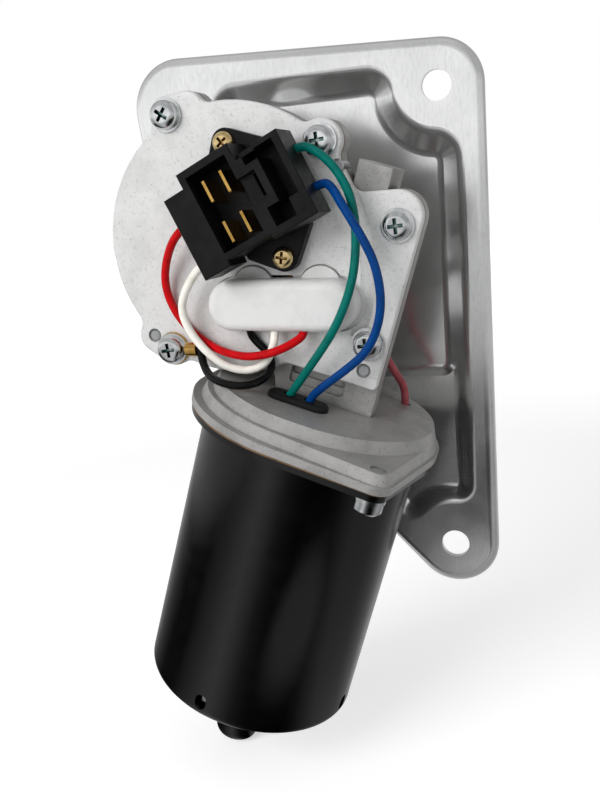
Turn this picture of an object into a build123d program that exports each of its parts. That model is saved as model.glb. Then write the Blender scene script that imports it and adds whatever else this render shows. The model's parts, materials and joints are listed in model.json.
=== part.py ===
"""Two-speed wiper motor: worm gearbox with a permanent magnet motor on a stamped bracket.

Frame: the output shaft runs along +Y through the origin, which lies on the bracket's mounting face.
+Z runs up along the bracket's straight side, and the motor hangs down to the left of the gearbox.
"""

import math
import os

from build123d import *

# ---------------------------------------------------------------------------------------------
# Driving dimensions, in millimetres and degrees
# ---------------------------------------------------------------------------------------------
FIT = 0.02  # radial play of pieces pressed or seated in one another
RUNNING = 0.05  # radial play of a shaft in its bush

# Gear pair
MODULE = 1.25
WHEEL_TEETH = 47
WORM_PITCH_R = 5.125
WORM_STARTS = 1
MESH_PLAY = 0.42  # flank play of the pair, measured along the pitch line
WHEEL_WIDTH = 8.0
PRESSURE_ANGLE = 20.0

# Motor axis
MOTOR_TILT = 18.8  # from the bracket's straight side
MOTOR_Y = -39.5  # depth of the motor's axis

# Depths along the output shaft: the gear cover's side is negative
COVER_FRONT = -50.0
COVER_T = 3.0
GASKET_T = 0.8
RIM_T = 5.0
CHAMBER_DEPTH = 12.7
FLOOR_T = 3.5

# Case outline, in X and Z round the output shaft
CASE_R = 38.1
CHAMBER_R = 32.0
CHAMBER_WALL = 3.5
SHOULDER_Z = 10.5  # level top edge of the worm side
SIDE_X = 17.0  # worm side's outer edge, from the motor's axis
NECK_X = -12.5  # worm side's inner edge, from the motor's axis
COVER_END = 29.5  # lower edge of the cover, along the motor's axis
COVER_SCREWS = [(-16.2, 35.7), (28.3, 24.8), (48.2, 1.0), (-21.6, -30.6), (38.0, -30.8)]
DOWELS = [(-27.6, -26.6), (32.6, 17.6), (36.2, -38.4)]
DOWEL_R = 1.7
COVER_THREAD_R = 2.0
COVER_HEAD_R = 4.0
COVER_WASHER_R = 4.7

# Motor end flange and yoke, along the motor's axis from the gear mesh
PLATFORM_T = 38.5
STEP_T = 42.0
FLANGE_T = 45.0
FLANGE_END = 47.3
FLANGE_R = 37.8
STEP_INSET = 2.4
STEP_REACH = 1.6  # the steps reach nearer to the edge on the lug's far side
PLATFORM_INSET = 5.2
PLATFORM_REACH = 3.6
STEP_DRAFT = 22.0
EAR_MARK_R = 2.2
EAR_R = 5.2
EAR_DISTANCE = 43.6
EAR_ANGLES = [51.5, 221.5]
YOKE_GASKET_T = 0.6
YOKE_RIM_T = 1.8
YOKE_R = 33.0
YOKE_WALL = 2.2
YOKE_END = 137.2
YOKE_EDGE_R = 3.0
YOKE_CONE_R = 15.0
YOKE_CONE_END = 144.0
YOKE_BOSS_R = 7.0
YOKE_BOSS_END = 162.5
BOSS_WALL = 1.6
VENT_R = 1.9
VENT_T = 132.0
VENT_ANGLE = 9.0
YOKE_SCREW_R = 2.5
YOKE_HEAD_R = 4.0
YOKE_HEAD_H = 3.4

# Armature
SHAFT_R = 4.0
THRUST_BALL_R = 2.4
CORE_R = 22.5
CORE_START = 74.0
CORE_END = 112.0
CORE_SLOTS = 10
WINDING_OVERHANG = 9.5
COMMUTATOR_R = 11.0
COMMUTATOR_START = 51.0
COMMUTATOR_END = 63.0
MAGNET_T = 6.9
MAGNET_SPAN = 124.0
BEARING_R = 11.0
BEARING_W = 7.0
BUSH_R = 5.5
BRUSH_SIZE = (5.0, 6.0)
BRUSH_ANGLES = [90.0, 270.0, 145.0]

# Output shaft
OUTPUT_R = 6.0
OUTPUT_BUSH_R = 8.0
OUTPUT_BOSS_R = 11.0
BOSS_END = -3.0
TAPER_START = 3.0
TAPER_LENGTH = 10.0
TAPER_END_R = 5.0
THREAD_R = 4.0
THREAD_LENGTH = 14.0

# Bracket
SHEET = 2.0
HOLE_X = 88.4  # spacing of the two upper mounting holes
HOLE_Z = 149.1  # spacing of the two holes on the straight side
CORNER_X = 52.0  # the corner hole, from the output shaft
CORNER_Z = 40.5
MOUNT_HOLE_R = 4.65
LAND_R = 14.2
LIP = 4.0
TUB_DEPTH = 4.2  # of the floor round the seat, from the flange's face
TUB_FOOT_DEPTH = 2.6  # of the shallower floor towards the foot
TUB_EDGE = 7.8  # width of the flange beside the tub
TUB_TOP = 7.0  # top of the tub above the upper mounting holes
CORNER_LAND_R = 13.5
FOOT_LAND_R = 15.7
SEAT_FRONT = -8.0
LEG_PCD_R = 27.0
LEG_ANGLES = [90.0, 210.0, 330.0]
LEG_R = 6.5
LEG_BOLT_R = 3.0
LEG_WASHER_R = 5.8

# Connector, in its own frame turned on the cover
CONNECTOR_TURN = 24.5
CONNECTOR_X = -4.9
CONNECTOR_Z = 17.5
CONNECTOR_FRONT = -66.0
CONNECTOR_BASE_T = 4.0
BLADE_T = 0.8
BLADE_W = 6.3
CAVITY = (12.8, 22.2)
CONNECTOR_WALL = 2.1

BASE_SCREWS = [(10.2, 5.2), (10.2, -29.8)]
BASE_SCREW_R = 1.5

# Cover cap over the lead-through
CAP_SIZE = (43.5, 14.6)
CAP_CENTRE = (15.0, -18.6)
CAP_TURN = -2.4
CAP_H = 7.0
CAP_LUGS = [(-9.6, 4.4), (10.4, 4.4)]
CAP_LUG_R = 6.2
CAP_LUG_H = 1.8

WIRE_R = 1.2
LEAD_PLAY = 0.3  # round a lead in its hole

# ---------------------------------------------------------------------------------------------
# Derived places and frames
# ---------------------------------------------------------------------------------------------
WHEEL_PITCH_R = MODULE * WHEEL_TEETH / 2
CENTRE_DISTANCE = WHEEL_PITCH_R + WORM_PITCH_R
COVER_BACK = COVER_FRONT + COVER_T
CASE_FRONT = COVER_BACK + GASKET_T
CASE_FLOOR = CASE_FRONT + CHAMBER_DEPTH
CASE_BACK = CASE_FLOOR + FLOOR_T
YOKE_START = FLANGE_END + YOKE_GASKET_T
YOKE_BORE_R = YOKE_R - YOKE_WALL
YOKE_FLOOR = YOKE_END - YOKE_WALL
SHAFT_END = YOKE_BOSS_END - BOSS_WALL - 2 * THRUST_BALL_R - 0.06
CONNECTOR_BACK = COVER_FRONT - CONNECTOR_BASE_T

TILT = math.radians(MOTOR_TILT)
AXIS = Vector(-math.sin(TILT), 0, -math.cos(TILT))
ACROSS = Vector(math.cos(TILT), 0, -math.sin(TILT))
MESH_POINT = ACROSS * CENTRE_DISTANCE + Vector(0, MOTOR_Y, 0)
MOTOR_AXIS = Axis(MESH_POINT, AXIS)


def facing(y):
    """Plane across the output shaft at depth y: local x is X, local y is Z, normal towards the gear cover's side."""
    return Plane(origin=(0, y, 0), x_dir=(1, 0, 0), z_dir=(0, -1, 0))


def along(t):
    """Plane across the motor's axis, t from the mesh towards the yoke: local y is towards the gear cover's side."""
    return Plane(origin=MESH_POINT + AXIS * t, x_dir=ACROSS, z_dir=AXIS)


def beyond(t):
    """Plane through the motor's axis at t: local x is the radius, local y runs to the yoke."""
    return Plane(origin=MESH_POINT + AXIS * t, x_dir=ACROSS, z_dir=(0, 1, 0))


def beside(across, t):
    """X and Z of a point given from the motor's axis and along it."""
    point = MESH_POINT + ACROSS * across + AXIS * t
    return (point.X, point.Z)


def polar(radius, angle):
    return (radius * math.cos(math.radians(angle)), radius * math.sin(math.radians(angle)))


def finish(part, label):
    part.label = label
    export_step(part, "parts/" + label + ".step")


EARS = [polar(EAR_DISTANCE, angle) for angle in EAR_ANGLES]
os.makedirs("parts", exist_ok=True)

# ---------------------------------------------------------------------------------------------
# Case outline shared by the cover, its gasket and the housing's rim
# ---------------------------------------------------------------------------------------------
def case_outline(end, close_r=4.0):
    """Round wheel chamber with screw lobes and the worm side, which ends at `end` along the axis."""
    with BuildSketch() as lobes:
        with Locations(COVER_SCREWS[0]):
            Circle(5.2)
        with Locations((COVER_SCREWS[0][0] + 6.4, COVER_SCREWS[0][1] + 1.4)):
            Circle(4.6)
        make_hull()
    with BuildSketch() as corner:
        with Locations(COVER_SCREWS[3]):
            Circle(5.2)
        with Locations(DOWELS[0]):
            Circle(5.0)
        make_hull()
    with BuildSketch() as worm_side:
        with BuildLine():
            Polyline(
                (20, SHOULDER_Z),
                (57.9, SHOULDER_Z),
                beside(SIDE_X, end),
                beside(NECK_X, end),
                beside(NECK_X, 0),
                close=True,
            )
        make_face()
        fillet(worm_side.vertices().sort_by_distance((57.9, SHOULDER_Z))[0], 7.0)
        fillet(worm_side.vertices().sort_by_distance(beside(SIDE_X, end))[0], 1.5)
    with BuildSketch() as outline:
        Circle(CASE_R)
        with Locations(COVER_SCREWS[1]):
            Circle(5.9)
        add(lobes.sketch)
        add(corner.sketch)
        add(worm_side.sketch)
        offset(amount=close_r)
        offset(amount=-close_r)
    return outline.sketch


with BuildSketch() as chamber_opening:
    Circle(CHAMBER_R)
    with BuildLine():
        Polyline(
            beside(0, -19), beside(7.6, -19), beside(7.6, 21), beside(-20, 21), beside(-20, -19), close=True
        )
    make_face()

# ---------------------------------------------------------------------------------------------
# Gear housing: one casting with the motor's end flange, thrust lug, output boss and three legs
# ---------------------------------------------------------------------------------------------
def flange_outline(inset, ear_inset, reach=0.0):
    """Round end flange drawn in from the edge by `inset` and its screw ears by `ear_inset`, but less
    by `reach` on one side."""
    with BuildSketch() as outline:
        Circle(FLANGE_R - inset)
        if reach > 0:
            with Locations((reach, 0)):
                Circle(FLANGE_R - inset)
        with Locations(*EARS):
            Circle(EAR_R - ear_inset)
        make_hull()
    return outline.sketch


WORM_TUBE_R = 10.4
LUG_R = 6.5
LUG_END = -30.2
LUG_BORE = -27.0
LUG_FLAT = (9.8, 6.7)
SHAFT_TOP = -25.5
BEARING_START = FLANGE_END - 0.5 - BEARING_W
GROMMET_AT = (-3.0, 14.6)
LEAD_SINK = 1.6  # length of each lead held inside a wall
NECK_POCKET_X = (-9.3, 7.4)  # across the motor's axis
NECK_POCKET = 0.9
NECK_SLOT = 2.0
REAR_EXIT = (4.0, 14.0)  # across and along the motor's axis, in the case's back
REAR_ENTRY = (22.5, -18.0)  # in the end flange's platform

with BuildPart() as gear_housing:
    with BuildSketch(facing(CASE_FRONT)):
        Circle(CHAMBER_R + CHAMBER_WALL)
        with BuildLine():
            Polyline(
                beside(WORM_TUBE_R, -22),
                beside(WORM_TUBE_R, PLATFORM_T + 1),
                beside(NECK_X, PLATFORM_T + 1),
                beside(-25, 0),
                beside(-15, -22),
                close=True,
            )
        make_face()
    extrude(amount=CASE_FRONT - CASE_BACK)
    with BuildSketch(along(-20)):
        Circle(WORM_TUBE_R)
    extrude(amount=PLATFORM_T + 21)
    with BuildSketch(along(LUG_END)):
        Circle(LUG_R)
        with Locations((0, LUG_FLAT[1] / 2)):
            Rectangle(*LUG_FLAT)
    extrude(amount=24)
    with BuildSketch(facing(CASE_FRONT)):
        add(case_outline(PLATFORM_T + 1))
    extrude(amount=-RIM_T)
    with BuildSketch(facing(CASE_FRONT)):
        with Locations(*COVER_SCREWS):
            Circle(4.6)
    extrude(amount=-11.0)
    with BuildSketch(facing(CASE_BACK - 1)):
        with Locations(*[polar(LEG_PCD_R, angle) for angle in LEG_ANGLES]):
            Circle(LEG_R)
    extrude(amount=CASE_BACK - 1 - SEAT_FRONT)
    with BuildSketch(facing(CASE_BACK - 1)):
        for angle in LEG_ANGLES:
            with Locations(Location((0, 0, 0), (0, 0, angle))):
                with Locations((LEG_PCD_R / 2, 0)):
                    Rectangle(LEG_PCD_R, 4.0)
    extrude(amount=-14.0)
    with BuildSketch(facing(CASE_BACK - 1)):
        Circle(OUTPUT_BOSS_R)
    extrude(amount=CASE_BACK - 1 - BOSS_END)
    # Nothing of the gear case stands in front of the gasket
    with BuildSketch(facing(CASE_FRONT)):
        Rectangle(160, 160)
    extrude(amount=20, mode=Mode.SUBTRACT)
    # Stepped end flange
    with BuildSketch(along(STEP_T + 0.5)):
        with Locations((PLATFORM_REACH / 2, 0)):
            SlotCenterToCenter(PLATFORM_REACH, 2 * (FLANGE_R - PLATFORM_INSET))
    extrude(amount=-(STEP_T + 0.5 - PLATFORM_T), taper=STEP_DRAFT)
    step_narrowing = (FLANGE_T + 0.3 - STEP_T) * math.tan(math.radians(STEP_DRAFT))
    with BuildSketch(along(FLANGE_T + 0.3)):
        add(flange_outline(STEP_INSET, 0.6, STEP_REACH))
    with BuildSketch(along(STEP_T)):
        add(flange_outline(STEP_INSET + step_narrowing, 0.6 + step_narrowing, STEP_REACH))
    loft()
    with BuildSketch(along(FLANGE_END)):
        add(flange_outline(0, 0))
    extrude(amount=-(FLANGE_END - FLANGE_T))
    # Shallow round mark over each screw ear
    with BuildSketch(along(STEP_T)):
        with Locations(*EARS):
            Circle(EAR_MARK_R)
    extrude(amount=0.5, mode=Mode.SUBTRACT)
    # Wheel chamber and worm trough
    with BuildSketch(facing(CASE_FRONT)):
        Circle(CHAMBER_R)
    extrude(amount=-CHAMBER_DEPTH, mode=Mode.SUBTRACT)
    with BuildSketch(along(-19)):
        Circle(7.4)
        with Locations((0, 8)):
            Rectangle(14.8, 16)
    extrude(amount=40, mode=Mode.SUBTRACT)
    # Shaft bore, lug bush bore and bearing seat
    with BuildSketch(along(LUG_BORE)):
        Circle(BUSH_R + FIT)
    extrude(amount=9.0, mode=Mode.SUBTRACT)
    with BuildSketch(along(20)):
        Circle(SHAFT_R + 0.2)
    extrude(amount=FLANGE_END - 19, mode=Mode.SUBTRACT)
    with BuildSketch(along(BEARING_START)):
        Circle(BEARING_R + FIT)
    extrude(amount=FLANGE_END - BEARING_START + 1, mode=Mode.SUBTRACT)
    # Brush space under the flange, round the bearing seat
    with BuildSketch(along(STEP_T + 0.5)):
        Circle(28.5)
        Circle(BEARING_R + 3, mode=Mode.SUBTRACT)
    extrude(amount=FLANGE_END, mode=Mode.SUBTRACT)
    with BuildSketch(along(PLATFORM_T - 1)):
        with Locations(GROMMET_AT):
            SlotOverall(15.0, 4.4)
    extrude(amount=12, mode=Mode.SUBTRACT)
    # Shallow pocket in the neck, deeper in a slot along the cover's edge
    for start, end, depth in ((COVER_END + 0.6, PLATFORM_T - 3.0, NECK_POCKET), (COVER_END + 0.6, COVER_END + 3.4, NECK_SLOT)):
        with BuildSketch(facing(CASE_FRONT)):
            with BuildLine():
                Polyline(
                    beside(NECK_POCKET_X[0], start),
                    beside(NECK_POCKET_X[1], start),
                    beside(NECK_POCKET_X[1], end),
                    beside(NECK_POCKET_X[0], end),
                    close=True,
                )
            neck_face = make_face()
            fillet(neck_face.vertices(), 1.2)
        extrude(amount=-depth, mode=Mode.SUBTRACT)
    # Holes of the lead behind the worm
    with BuildSketch(along(PLATFORM_T - 1)):
        with Locations(REAR_ENTRY):
            Circle(WIRE_R + LEAD_PLAY)
    extrude(amount=LEAD_SINK + 1, mode=Mode.SUBTRACT)
    with BuildSketch(facing(CASE_BACK + 1)):
        with Locations(beside(*REAR_EXIT)):
            Circle(WIRE_R + LEAD_PLAY)
    extrude(amount=LEAD_SINK + 1, mode=Mode.SUBTRACT)
    # Output shaft bore
    with BuildSketch(facing(CASE_FLOOR - 1)):
        Circle(OUTPUT_BUSH_R + FIT)
    extrude(amount=CASE_FLOOR - 1 - BOSS_END - 1, mode=Mode.SUBTRACT)
    # Screw holes
    with BuildSketch(facing(CASE_FRONT)):
        with Locations(*COVER_SCREWS):
            Circle(COVER_THREAD_R + FIT)
    extrude(amount=-8.0, mode=Mode.SUBTRACT)
    with BuildSketch(facing(CASE_FRONT)):
        with Locations(*DOWELS):
            Circle(DOWEL_R + FIT)
    extrude(amount=-3.5, mode=Mode.SUBTRACT)
    with BuildSketch(facing(SEAT_FRONT)):
        with Locations(*[polar(LEG_PCD_R, angle) for angle in LEG_ANGLES]):
            Circle(LEG_BOLT_R + FIT)
    extrude(amount=14.0, mode=Mode.SUBTRACT)
    with BuildSketch(along(FLANGE_END)):
        with Locations(*EARS):
            Circle(YOKE_SCREW_R + FIT)
    extrude(amount=-(FLANGE_END - STEP_T - 1), mode=Mode.SUBTRACT)
finish(gear_housing.part, "gear_housing")

# ---------------------------------------------------------------------------------------------
# Gear cover, its gasket, dowels and screws
# ---------------------------------------------------------------------------------------------
PASSAGE = (38.0, 8.0)  # lead-through under the cap
GROOVE_DEPTH = 0.9

with BuildPart() as gear_cover:
    with BuildSketch(facing(COVER_BACK)):
        add(case_outline(COVER_END))
    extrude(amount=COVER_T)
    top = gear_cover.faces().sort_by(Axis.Y)[0]
    chamfer(top.outer_wire().edges(), 0.4)
    # Sunk seat of the cap, with two round pads above it and a tongue between them
    with BuildSketch(facing(COVER_FRONT)):
        with Locations(Location((CAP_CENTRE[0], CAP_CENTRE[1], 0), (0, 0, CAP_TURN))):
            SlotOverall(CAP_SIZE[0] + 2.4, CAP_SIZE[1] + 1.0)
            with Locations(*CAP_LUGS):
                Circle(CAP_LUG_R + 0.4)
    extrude(amount=-1.0, mode=Mode.SUBTRACT)
    with BuildSketch(facing(COVER_FRONT)):
        with Locations(Location((CAP_CENTRE[0], CAP_CENTRE[1], 0), (0, 0, CAP_TURN))):
            SlotOverall(*PASSAGE)
            with Locations((-2.0, 5.0)):
                Rectangle(8.0, 6.0)
    extrude(amount=-COVER_T, mode=Mode.SUBTRACT)
    # Shallow groove right of the cap
    with BuildLine(facing(COVER_FRONT + GROOVE_DEPTH - 3.0)) as groove_path:
        ThreePointArc((35.0, 12.5), (39.4, -9.0), (35.0, -29.0))
    with BuildSketch(Plane(origin=groove_path.line @ 0, z_dir=groove_path.line % 0)):
        Circle(3.0)
    sweep(path=groove_path.line, mode=Mode.SUBTRACT)
    with BuildSketch(facing(COVER_FRONT)):
        with Locations(*COVER_SCREWS):
            Circle(COVER_THREAD_R + 0.2)
        with Locations(*DOWELS):
            Circle(DOWEL_R + FIT)
    extrude(amount=-COVER_T, mode=Mode.SUBTRACT)
    with BuildSketch(facing(COVER_FRONT)):
        with Locations(*DOWELS):
            Circle(DOWEL_R + 0.35)
    extrude(amount=-0.8, mode=Mode.SUBTRACT)
    with BuildSketch(facing(COVER_FRONT)):
        with Locations(Location((CONNECTOR_X, CONNECTOR_Z, 0), (0, 0, CONNECTOR_TURN))):
            with Locations(*BASE_SCREWS):
                Circle(BASE_SCREW_R + FIT)
    extrude(amount=-COVER_T, mode=Mode.SUBTRACT)
finish(gear_cover.part, "gear_cover")

with BuildPart() as cover_gasket:
    with BuildSketch(facing(CASE_FRONT)):
        add(case_outline(COVER_END))
        add(chamber_opening.sketch, mode=Mode.SUBTRACT)
        with Locations(*COVER_SCREWS):
            Circle(COVER_THREAD_R + 0.3, mode=Mode.SUBTRACT)
        with Locations(*DOWELS):
            Circle(DOWEL_R + 0.2, mode=Mode.SUBTRACT)
    extrude(amount=GASKET_T)
finish(cover_gasket.part, "cover_gasket")

with BuildPart() as locating_dowels:
    with BuildSketch(facing(CASE_FRONT + 3.4)):
        with Locations(*DOWELS):
            Circle(DOWEL_R)
    extrude(amount=CASE_FRONT + 3.4 - COVER_FRONT - 0.2)
    chamfer(locating_dowels.faces().sort_by(Axis.Y)[0:3].edges(), 0.3)
finish(locating_dowels.part, "locating_dowels")

RING_T = 0.8  # ring terminal's eye, under the lower left screw
WASHER_T = 0.8


def pan_screws(points, seats, thread_r, head_r, head_h, length, cross):
    """Pan head screws with cross recesses, each with the underside of its head at its seat."""
    with BuildPart() as screws:
        for (x, z), seat in zip(points, seats):
            with BuildSketch(facing(seat)):
                with Locations((x, z)):
                    Circle(head_r)
            head = extrude(amount=head_h)
            fillet(head.edges().filter_by(GeomType.CIRCLE).sort_by(Axis.Y)[0], head_h * 0.62)
            with BuildSketch(facing(seat)):
                with Locations((x, z)):
                    Circle(thread_r)
            extrude(amount=-length)
            with BuildSketch(facing(seat - head_h)):
                with Locations(Location((x, z, 0), (0, 0, 20 + 9 * x))):
                    Rectangle(cross, cross * 0.24)
                    Rectangle(cross * 0.24, cross)
            extrude(amount=-head_h * 0.55, taper=8, mode=Mode.SUBTRACT)
    return screws.part


cover_seats = [COVER_FRONT - WASHER_T] * 5
cover_seats[3] -= RING_T
finish(
    pan_screws(COVER_SCREWS, cover_seats, COVER_THREAD_R - FIT, COVER_HEAD_R, 2.9, 10.0, 4.2),
    "cover_screws",
)

with BuildPart() as cover_washers:
    for point, seat in zip(COVER_SCREWS, cover_seats):
        with BuildSketch(facing(seat)):
            with Locations(point):
                Circle(COVER_WASHER_R)
                Circle(COVER_THREAD_R + 0.1, mode=Mode.SUBTRACT)
        extrude(amount=-WASHER_T)
finish(cover_washers.part, "cover_washers")

RING_TURN = 0.0
with BuildPart() as ring_terminal:
    with BuildSketch(facing(COVER_FRONT)):
        with Locations(Location((COVER_SCREWS[3][0], COVER_SCREWS[3][1], 0), (0, 0, RING_TURN))):
            Circle(4.9)
            with Locations((6.5, -0.1)):
                Rectangle(5.4, 3.2)
            Circle(COVER_THREAD_R + 0.1, mode=Mode.SUBTRACT)
    extrude(amount=RING_T)
    barrel_start = (COVER_SCREWS[3][0] + 5.2, COVER_FRONT - 2.1, COVER_SCREWS[3][1] - 0.1)
    with BuildSketch(Plane(origin=barrel_start, z_dir=(1, 0, math.tan(math.radians(RING_TURN))))):
        Circle(2.1)
        Circle(WIRE_R + 0.15, mode=Mode.SUBTRACT)
    extrude(amount=3.4)
finish(ring_terminal.part, "ring_terminal")

# ---------------------------------------------------------------------------------------------
# Cap over the lead-through
# ---------------------------------------------------------------------------------------------
CAP_BACK = COVER_FRONT + 1.0
MOUTHS = (4.6, 12.8, 21.2)  # X of the black, white and red leads' mouths
MOUTH_Y = COVER_FRONT - 3.4
with BuildPart() as wire_cap:
    with BuildSketch(facing(CAP_BACK)):
        with Locations(Location((CAP_CENTRE[0], CAP_CENTRE[1], 0), (0, 0, CAP_TURN))):
            SlotOverall(*CAP_SIZE)
    extrude(amount=CAP_H + 1.0)
    fillet(wire_cap.edges().group_by(Axis.Y)[0], 2.6)
    with BuildSketch(facing(CAP_BACK)):
        with Locations(Location((CAP_CENTRE[0], CAP_CENTRE[1], 0), (0, 0, CAP_TURN))):
            with Locations(*CAP_LUGS):
                Circle(CAP_LUG_R)
    extrude(amount=CAP_LUG_H)
    with BuildSketch(facing(CAP_BACK)):
        with Locations(Location((CAP_CENTRE[0], CAP_CENTRE[1], 0), (0, 0, CAP_TURN))):
            SlotOverall(CAP_SIZE[0] - 3.2, CAP_SIZE[1] - 3.2)
    extrude(amount=CAP_H - 0.6, mode=Mode.SUBTRACT)
    # Lead mouths in the lower edge
    mouth_middle = (CAP_CENTRE[0], MOUTH_Y, CAP_CENTRE[1])
    with BuildSketch(Plane(origin=mouth_middle, x_dir=(1, 0, 0), z_dir=(0, 0, -1))):
        with Locations(*[(across - CAP_CENTRE[0], 0) for across in MOUTHS]):
            Rectangle(3.4, 4.4)
    extrude(amount=12, mode=Mode.SUBTRACT)
finish(wire_cap.part, "wire_cap")

# ---------------------------------------------------------------------------------------------
# Connector: base plate, socket housing, blades and screws
# ---------------------------------------------------------------------------------------------
def socket(y):
    """Connector's plane at depth y: origin at the blade cavity's corner, x across it, y up along it."""
    turn = math.radians(CONNECTOR_TURN)
    return Plane(
        origin=(CONNECTOR_X, y, CONNECTOR_Z), x_dir=(math.cos(turn), 0, math.sin(turn)), z_dir=(0, -1, 0)
    )


def box_sketch(left, right, top, bottom):
    """Rectangle from its left and right edges, and its top and bottom distances below the origin."""
    with Locations(((left + right) / 2, -(top + bottom) / 2)):
        Rectangle(right - left, bottom - top)


LEDGE_LEFT = -8.7
LOCK_RIGHT = 28.2
LOCK_WALL = 2.1
CAVITY_FLOOR = CONNECTOR_BACK - 1.4
BLADE_TIP = -64.2
BLADE_COLUMNS = (3.3, 9.0)
BLADE_ROWS = (5.75, 17.65)
RED_EXIT = (LEDGE_LEFT, -9.0)
WHITE_EXIT = (LEDGE_LEFT, -20.5)
GREEN_EXIT = (LOCK_RIGHT, -6.8)
BLUE_EXIT = (LOCK_RIGHT, -18.0)
LEAD_DEPTH = -57.0  # depth at which the four leads leave the connector

with BuildPart() as connector_base:
    with BuildSketch(socket(COVER_FRONT)):
        box_sketch(0.5, 21.0, -0.5, 25.5)
        with Locations(*BASE_SCREWS):
            Circle(4.0)
        make_hull()
        with Locations(*BASE_SCREWS):
            Circle(BASE_SCREW_R + 0.1, mode=Mode.SUBTRACT)
    extrude(amount=CONNECTOR_BASE_T)
    fillet(connector_base.faces().sort_by(Axis.Y)[0].outer_wire().edges(), 0.5)
finish(connector_base.part, "connector_base")

with BuildPart() as connector_housing:
    with BuildSketch(socket(CONNECTOR_BACK)):
        box_sketch(-CONNECTOR_WALL, 14.8, -CONNECTOR_WALL, CAVITY[1] + CONNECTOR_WALL)
        box_sketch(LEDGE_LEFT, 0, 2.0, 25.9)
        box_sketch(14.0, LOCK_RIGHT, 1.5, 25.3)
    extrude(amount=CONNECTOR_BACK - CONNECTOR_FRONT)
    chamfer(connector_housing.faces().sort_by(Axis.Y)[0].outer_wire().edges(), 0.25)
    # Blade cavity
    with BuildSketch(socket(CONNECTOR_FRONT)):
        box_sketch(0, CAVITY[0], 0, CAVITY[1])
    extrude(amount=-(CAVITY_FLOOR - CONNECTOR_FRONT), mode=Mode.SUBTRACT)
    # Keyed shelf with its slot, inside the divider's jog
    with BuildSketch(socket(CONNECTOR_FRONT)):
        box_sketch(CAVITY[0] - 1, 18.2, 7.4, 15.4)
    extrude(amount=-2.4, mode=Mode.SUBTRACT)
    with BuildSketch(socket(CONNECTOR_FRONT)):
        box_sketch(16.6, 17.9, 8.0, 14.2)
    extrude(amount=-8.0, mode=Mode.SUBTRACT)
    # Latch pocket round the jog
    with BuildSketch(socket(CONNECTOR_FRONT)):
        with BuildLine():
            Polyline(
                (16.6, -2.8),
                (LOCK_RIGHT - LOCK_WALL, -2.8),
                (LOCK_RIGHT - LOCK_WALL, -17.8),
                (22.2, -17.8),
                (22.2, -23.0),
                (16.6, -23.0),
                (16.6, -17.6),
                (20.4, -17.6),
                (20.4, -5.4),
                (16.6, -5.4),
                close=True,
            )
        make_face()
    extrude(amount=-10.0, mode=Mode.SUBTRACT)
    # Stepped latch block and the shallow top left of the pocket
    with BuildSketch(socket(CONNECTOR_FRONT)):
        box_sketch(22.2, LOCK_RIGHT - LOCK_WALL, 17.0, 23.0)
    extrude(amount=-2.6, mode=Mode.SUBTRACT)
    with BuildSketch(socket(CONNECTOR_FRONT)):
        box_sketch(15.0, 20.4, 1.5, 3.0)
    extrude(amount=-2.2, mode=Mode.SUBTRACT)
    # Blade slits and lead holes
    with BuildSketch(socket(CONNECTOR_FRONT)):
        with Locations(*[(u, -v) for u in BLADE_COLUMNS for v in BLADE_ROWS]):
            Rectangle(BLADE_T + 2 * FIT, BLADE_W + 2 * FIT)
    extrude(amount=-(CONNECTOR_BACK - CONNECTOR_FRONT), mode=Mode.SUBTRACT)
    for exit_at, inwards in ((RED_EXIT, 1), (WHITE_EXIT, 1), (GREEN_EXIT, -1), (BLUE_EXIT, -1)):
        mouth = socket(LEAD_DEPTH).from_local_coords(Vector(exit_at[0], exit_at[1], 0))
        with BuildSketch(Plane(origin=mouth, z_dir=socket(LEAD_DEPTH).x_dir * inwards)):
            Circle(WIRE_R + FIT)
        extrude(amount=LEAD_SINK, mode=Mode.SUBTRACT)
finish(connector_housing.part, "connector_housing")

with BuildPart() as blade_terminals:
    for u in BLADE_COLUMNS:
        for v in BLADE_ROWS:
            with BuildSketch(socket(CONNECTOR_BACK)):
                with Locations((u, -v)):
                    Rectangle(BLADE_T, BLADE_W)
            blade = extrude(amount=CONNECTOR_BACK - BLADE_TIP)
            chamfer(blade.edges().group_by(Axis.Y)[0].sort_by(Axis.Z)[0:1], 0.3)
            dimple = socket(BLADE_TIP + 3.6).from_local_coords(Vector(u - BLADE_T / 2, -v, 0))
            with BuildSketch(Plane(origin=dimple, z_dir=socket(0).x_dir)):
                Circle(0.7)
            extrude(amount=0.3, mode=Mode.SUBTRACT)
finish(blade_terminals.part, "blade_terminals")

base_points = [socket(0).from_local_coords(Vector(u, v, 0)) for u, v in BASE_SCREWS]
finish(
    pan_screws(
        [(p.X, p.Z) for p in base_points],
        [CONNECTOR_BACK, CONNECTOR_BACK],
        BASE_SCREW_R,
        3.0,
        2.2,
        CONNECTOR_BASE_T + COVER_T,
        3.4,
    ),
    "connector_screws",
)

# ---------------------------------------------------------------------------------------------
# Gear pair
# ---------------------------------------------------------------------------------------------
WHEEL_TIP_R = WHEEL_PITCH_R + MODULE
WHEEL_ROOT_R = WHEEL_PITCH_R - 1.25 * MODULE
WORM_TIP_R = WORM_PITCH_R + MODULE
WORM_ROOT_R = WORM_PITCH_R - 1.2 * MODULE
AXIAL_PITCH = math.pi * MODULE
LEAD_ANGLE = math.degrees(math.atan(WORM_STARTS * MODULE / (2 * WORM_PITCH_R)))
HALF_TOOTH = (AXIAL_PITCH - MESH_PLAY) / 4  # half thickness of either tooth at the pitch line
FLANK = math.tan(math.radians(PRESSURE_ANGLE))
WEB_FRONT = -40.5
WEB_BACK = -36.5
HUB_R = 9.0
HUB_BACK = CASE_FLOOR - 1.1
WORM_LENGTH = 33.0


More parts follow.
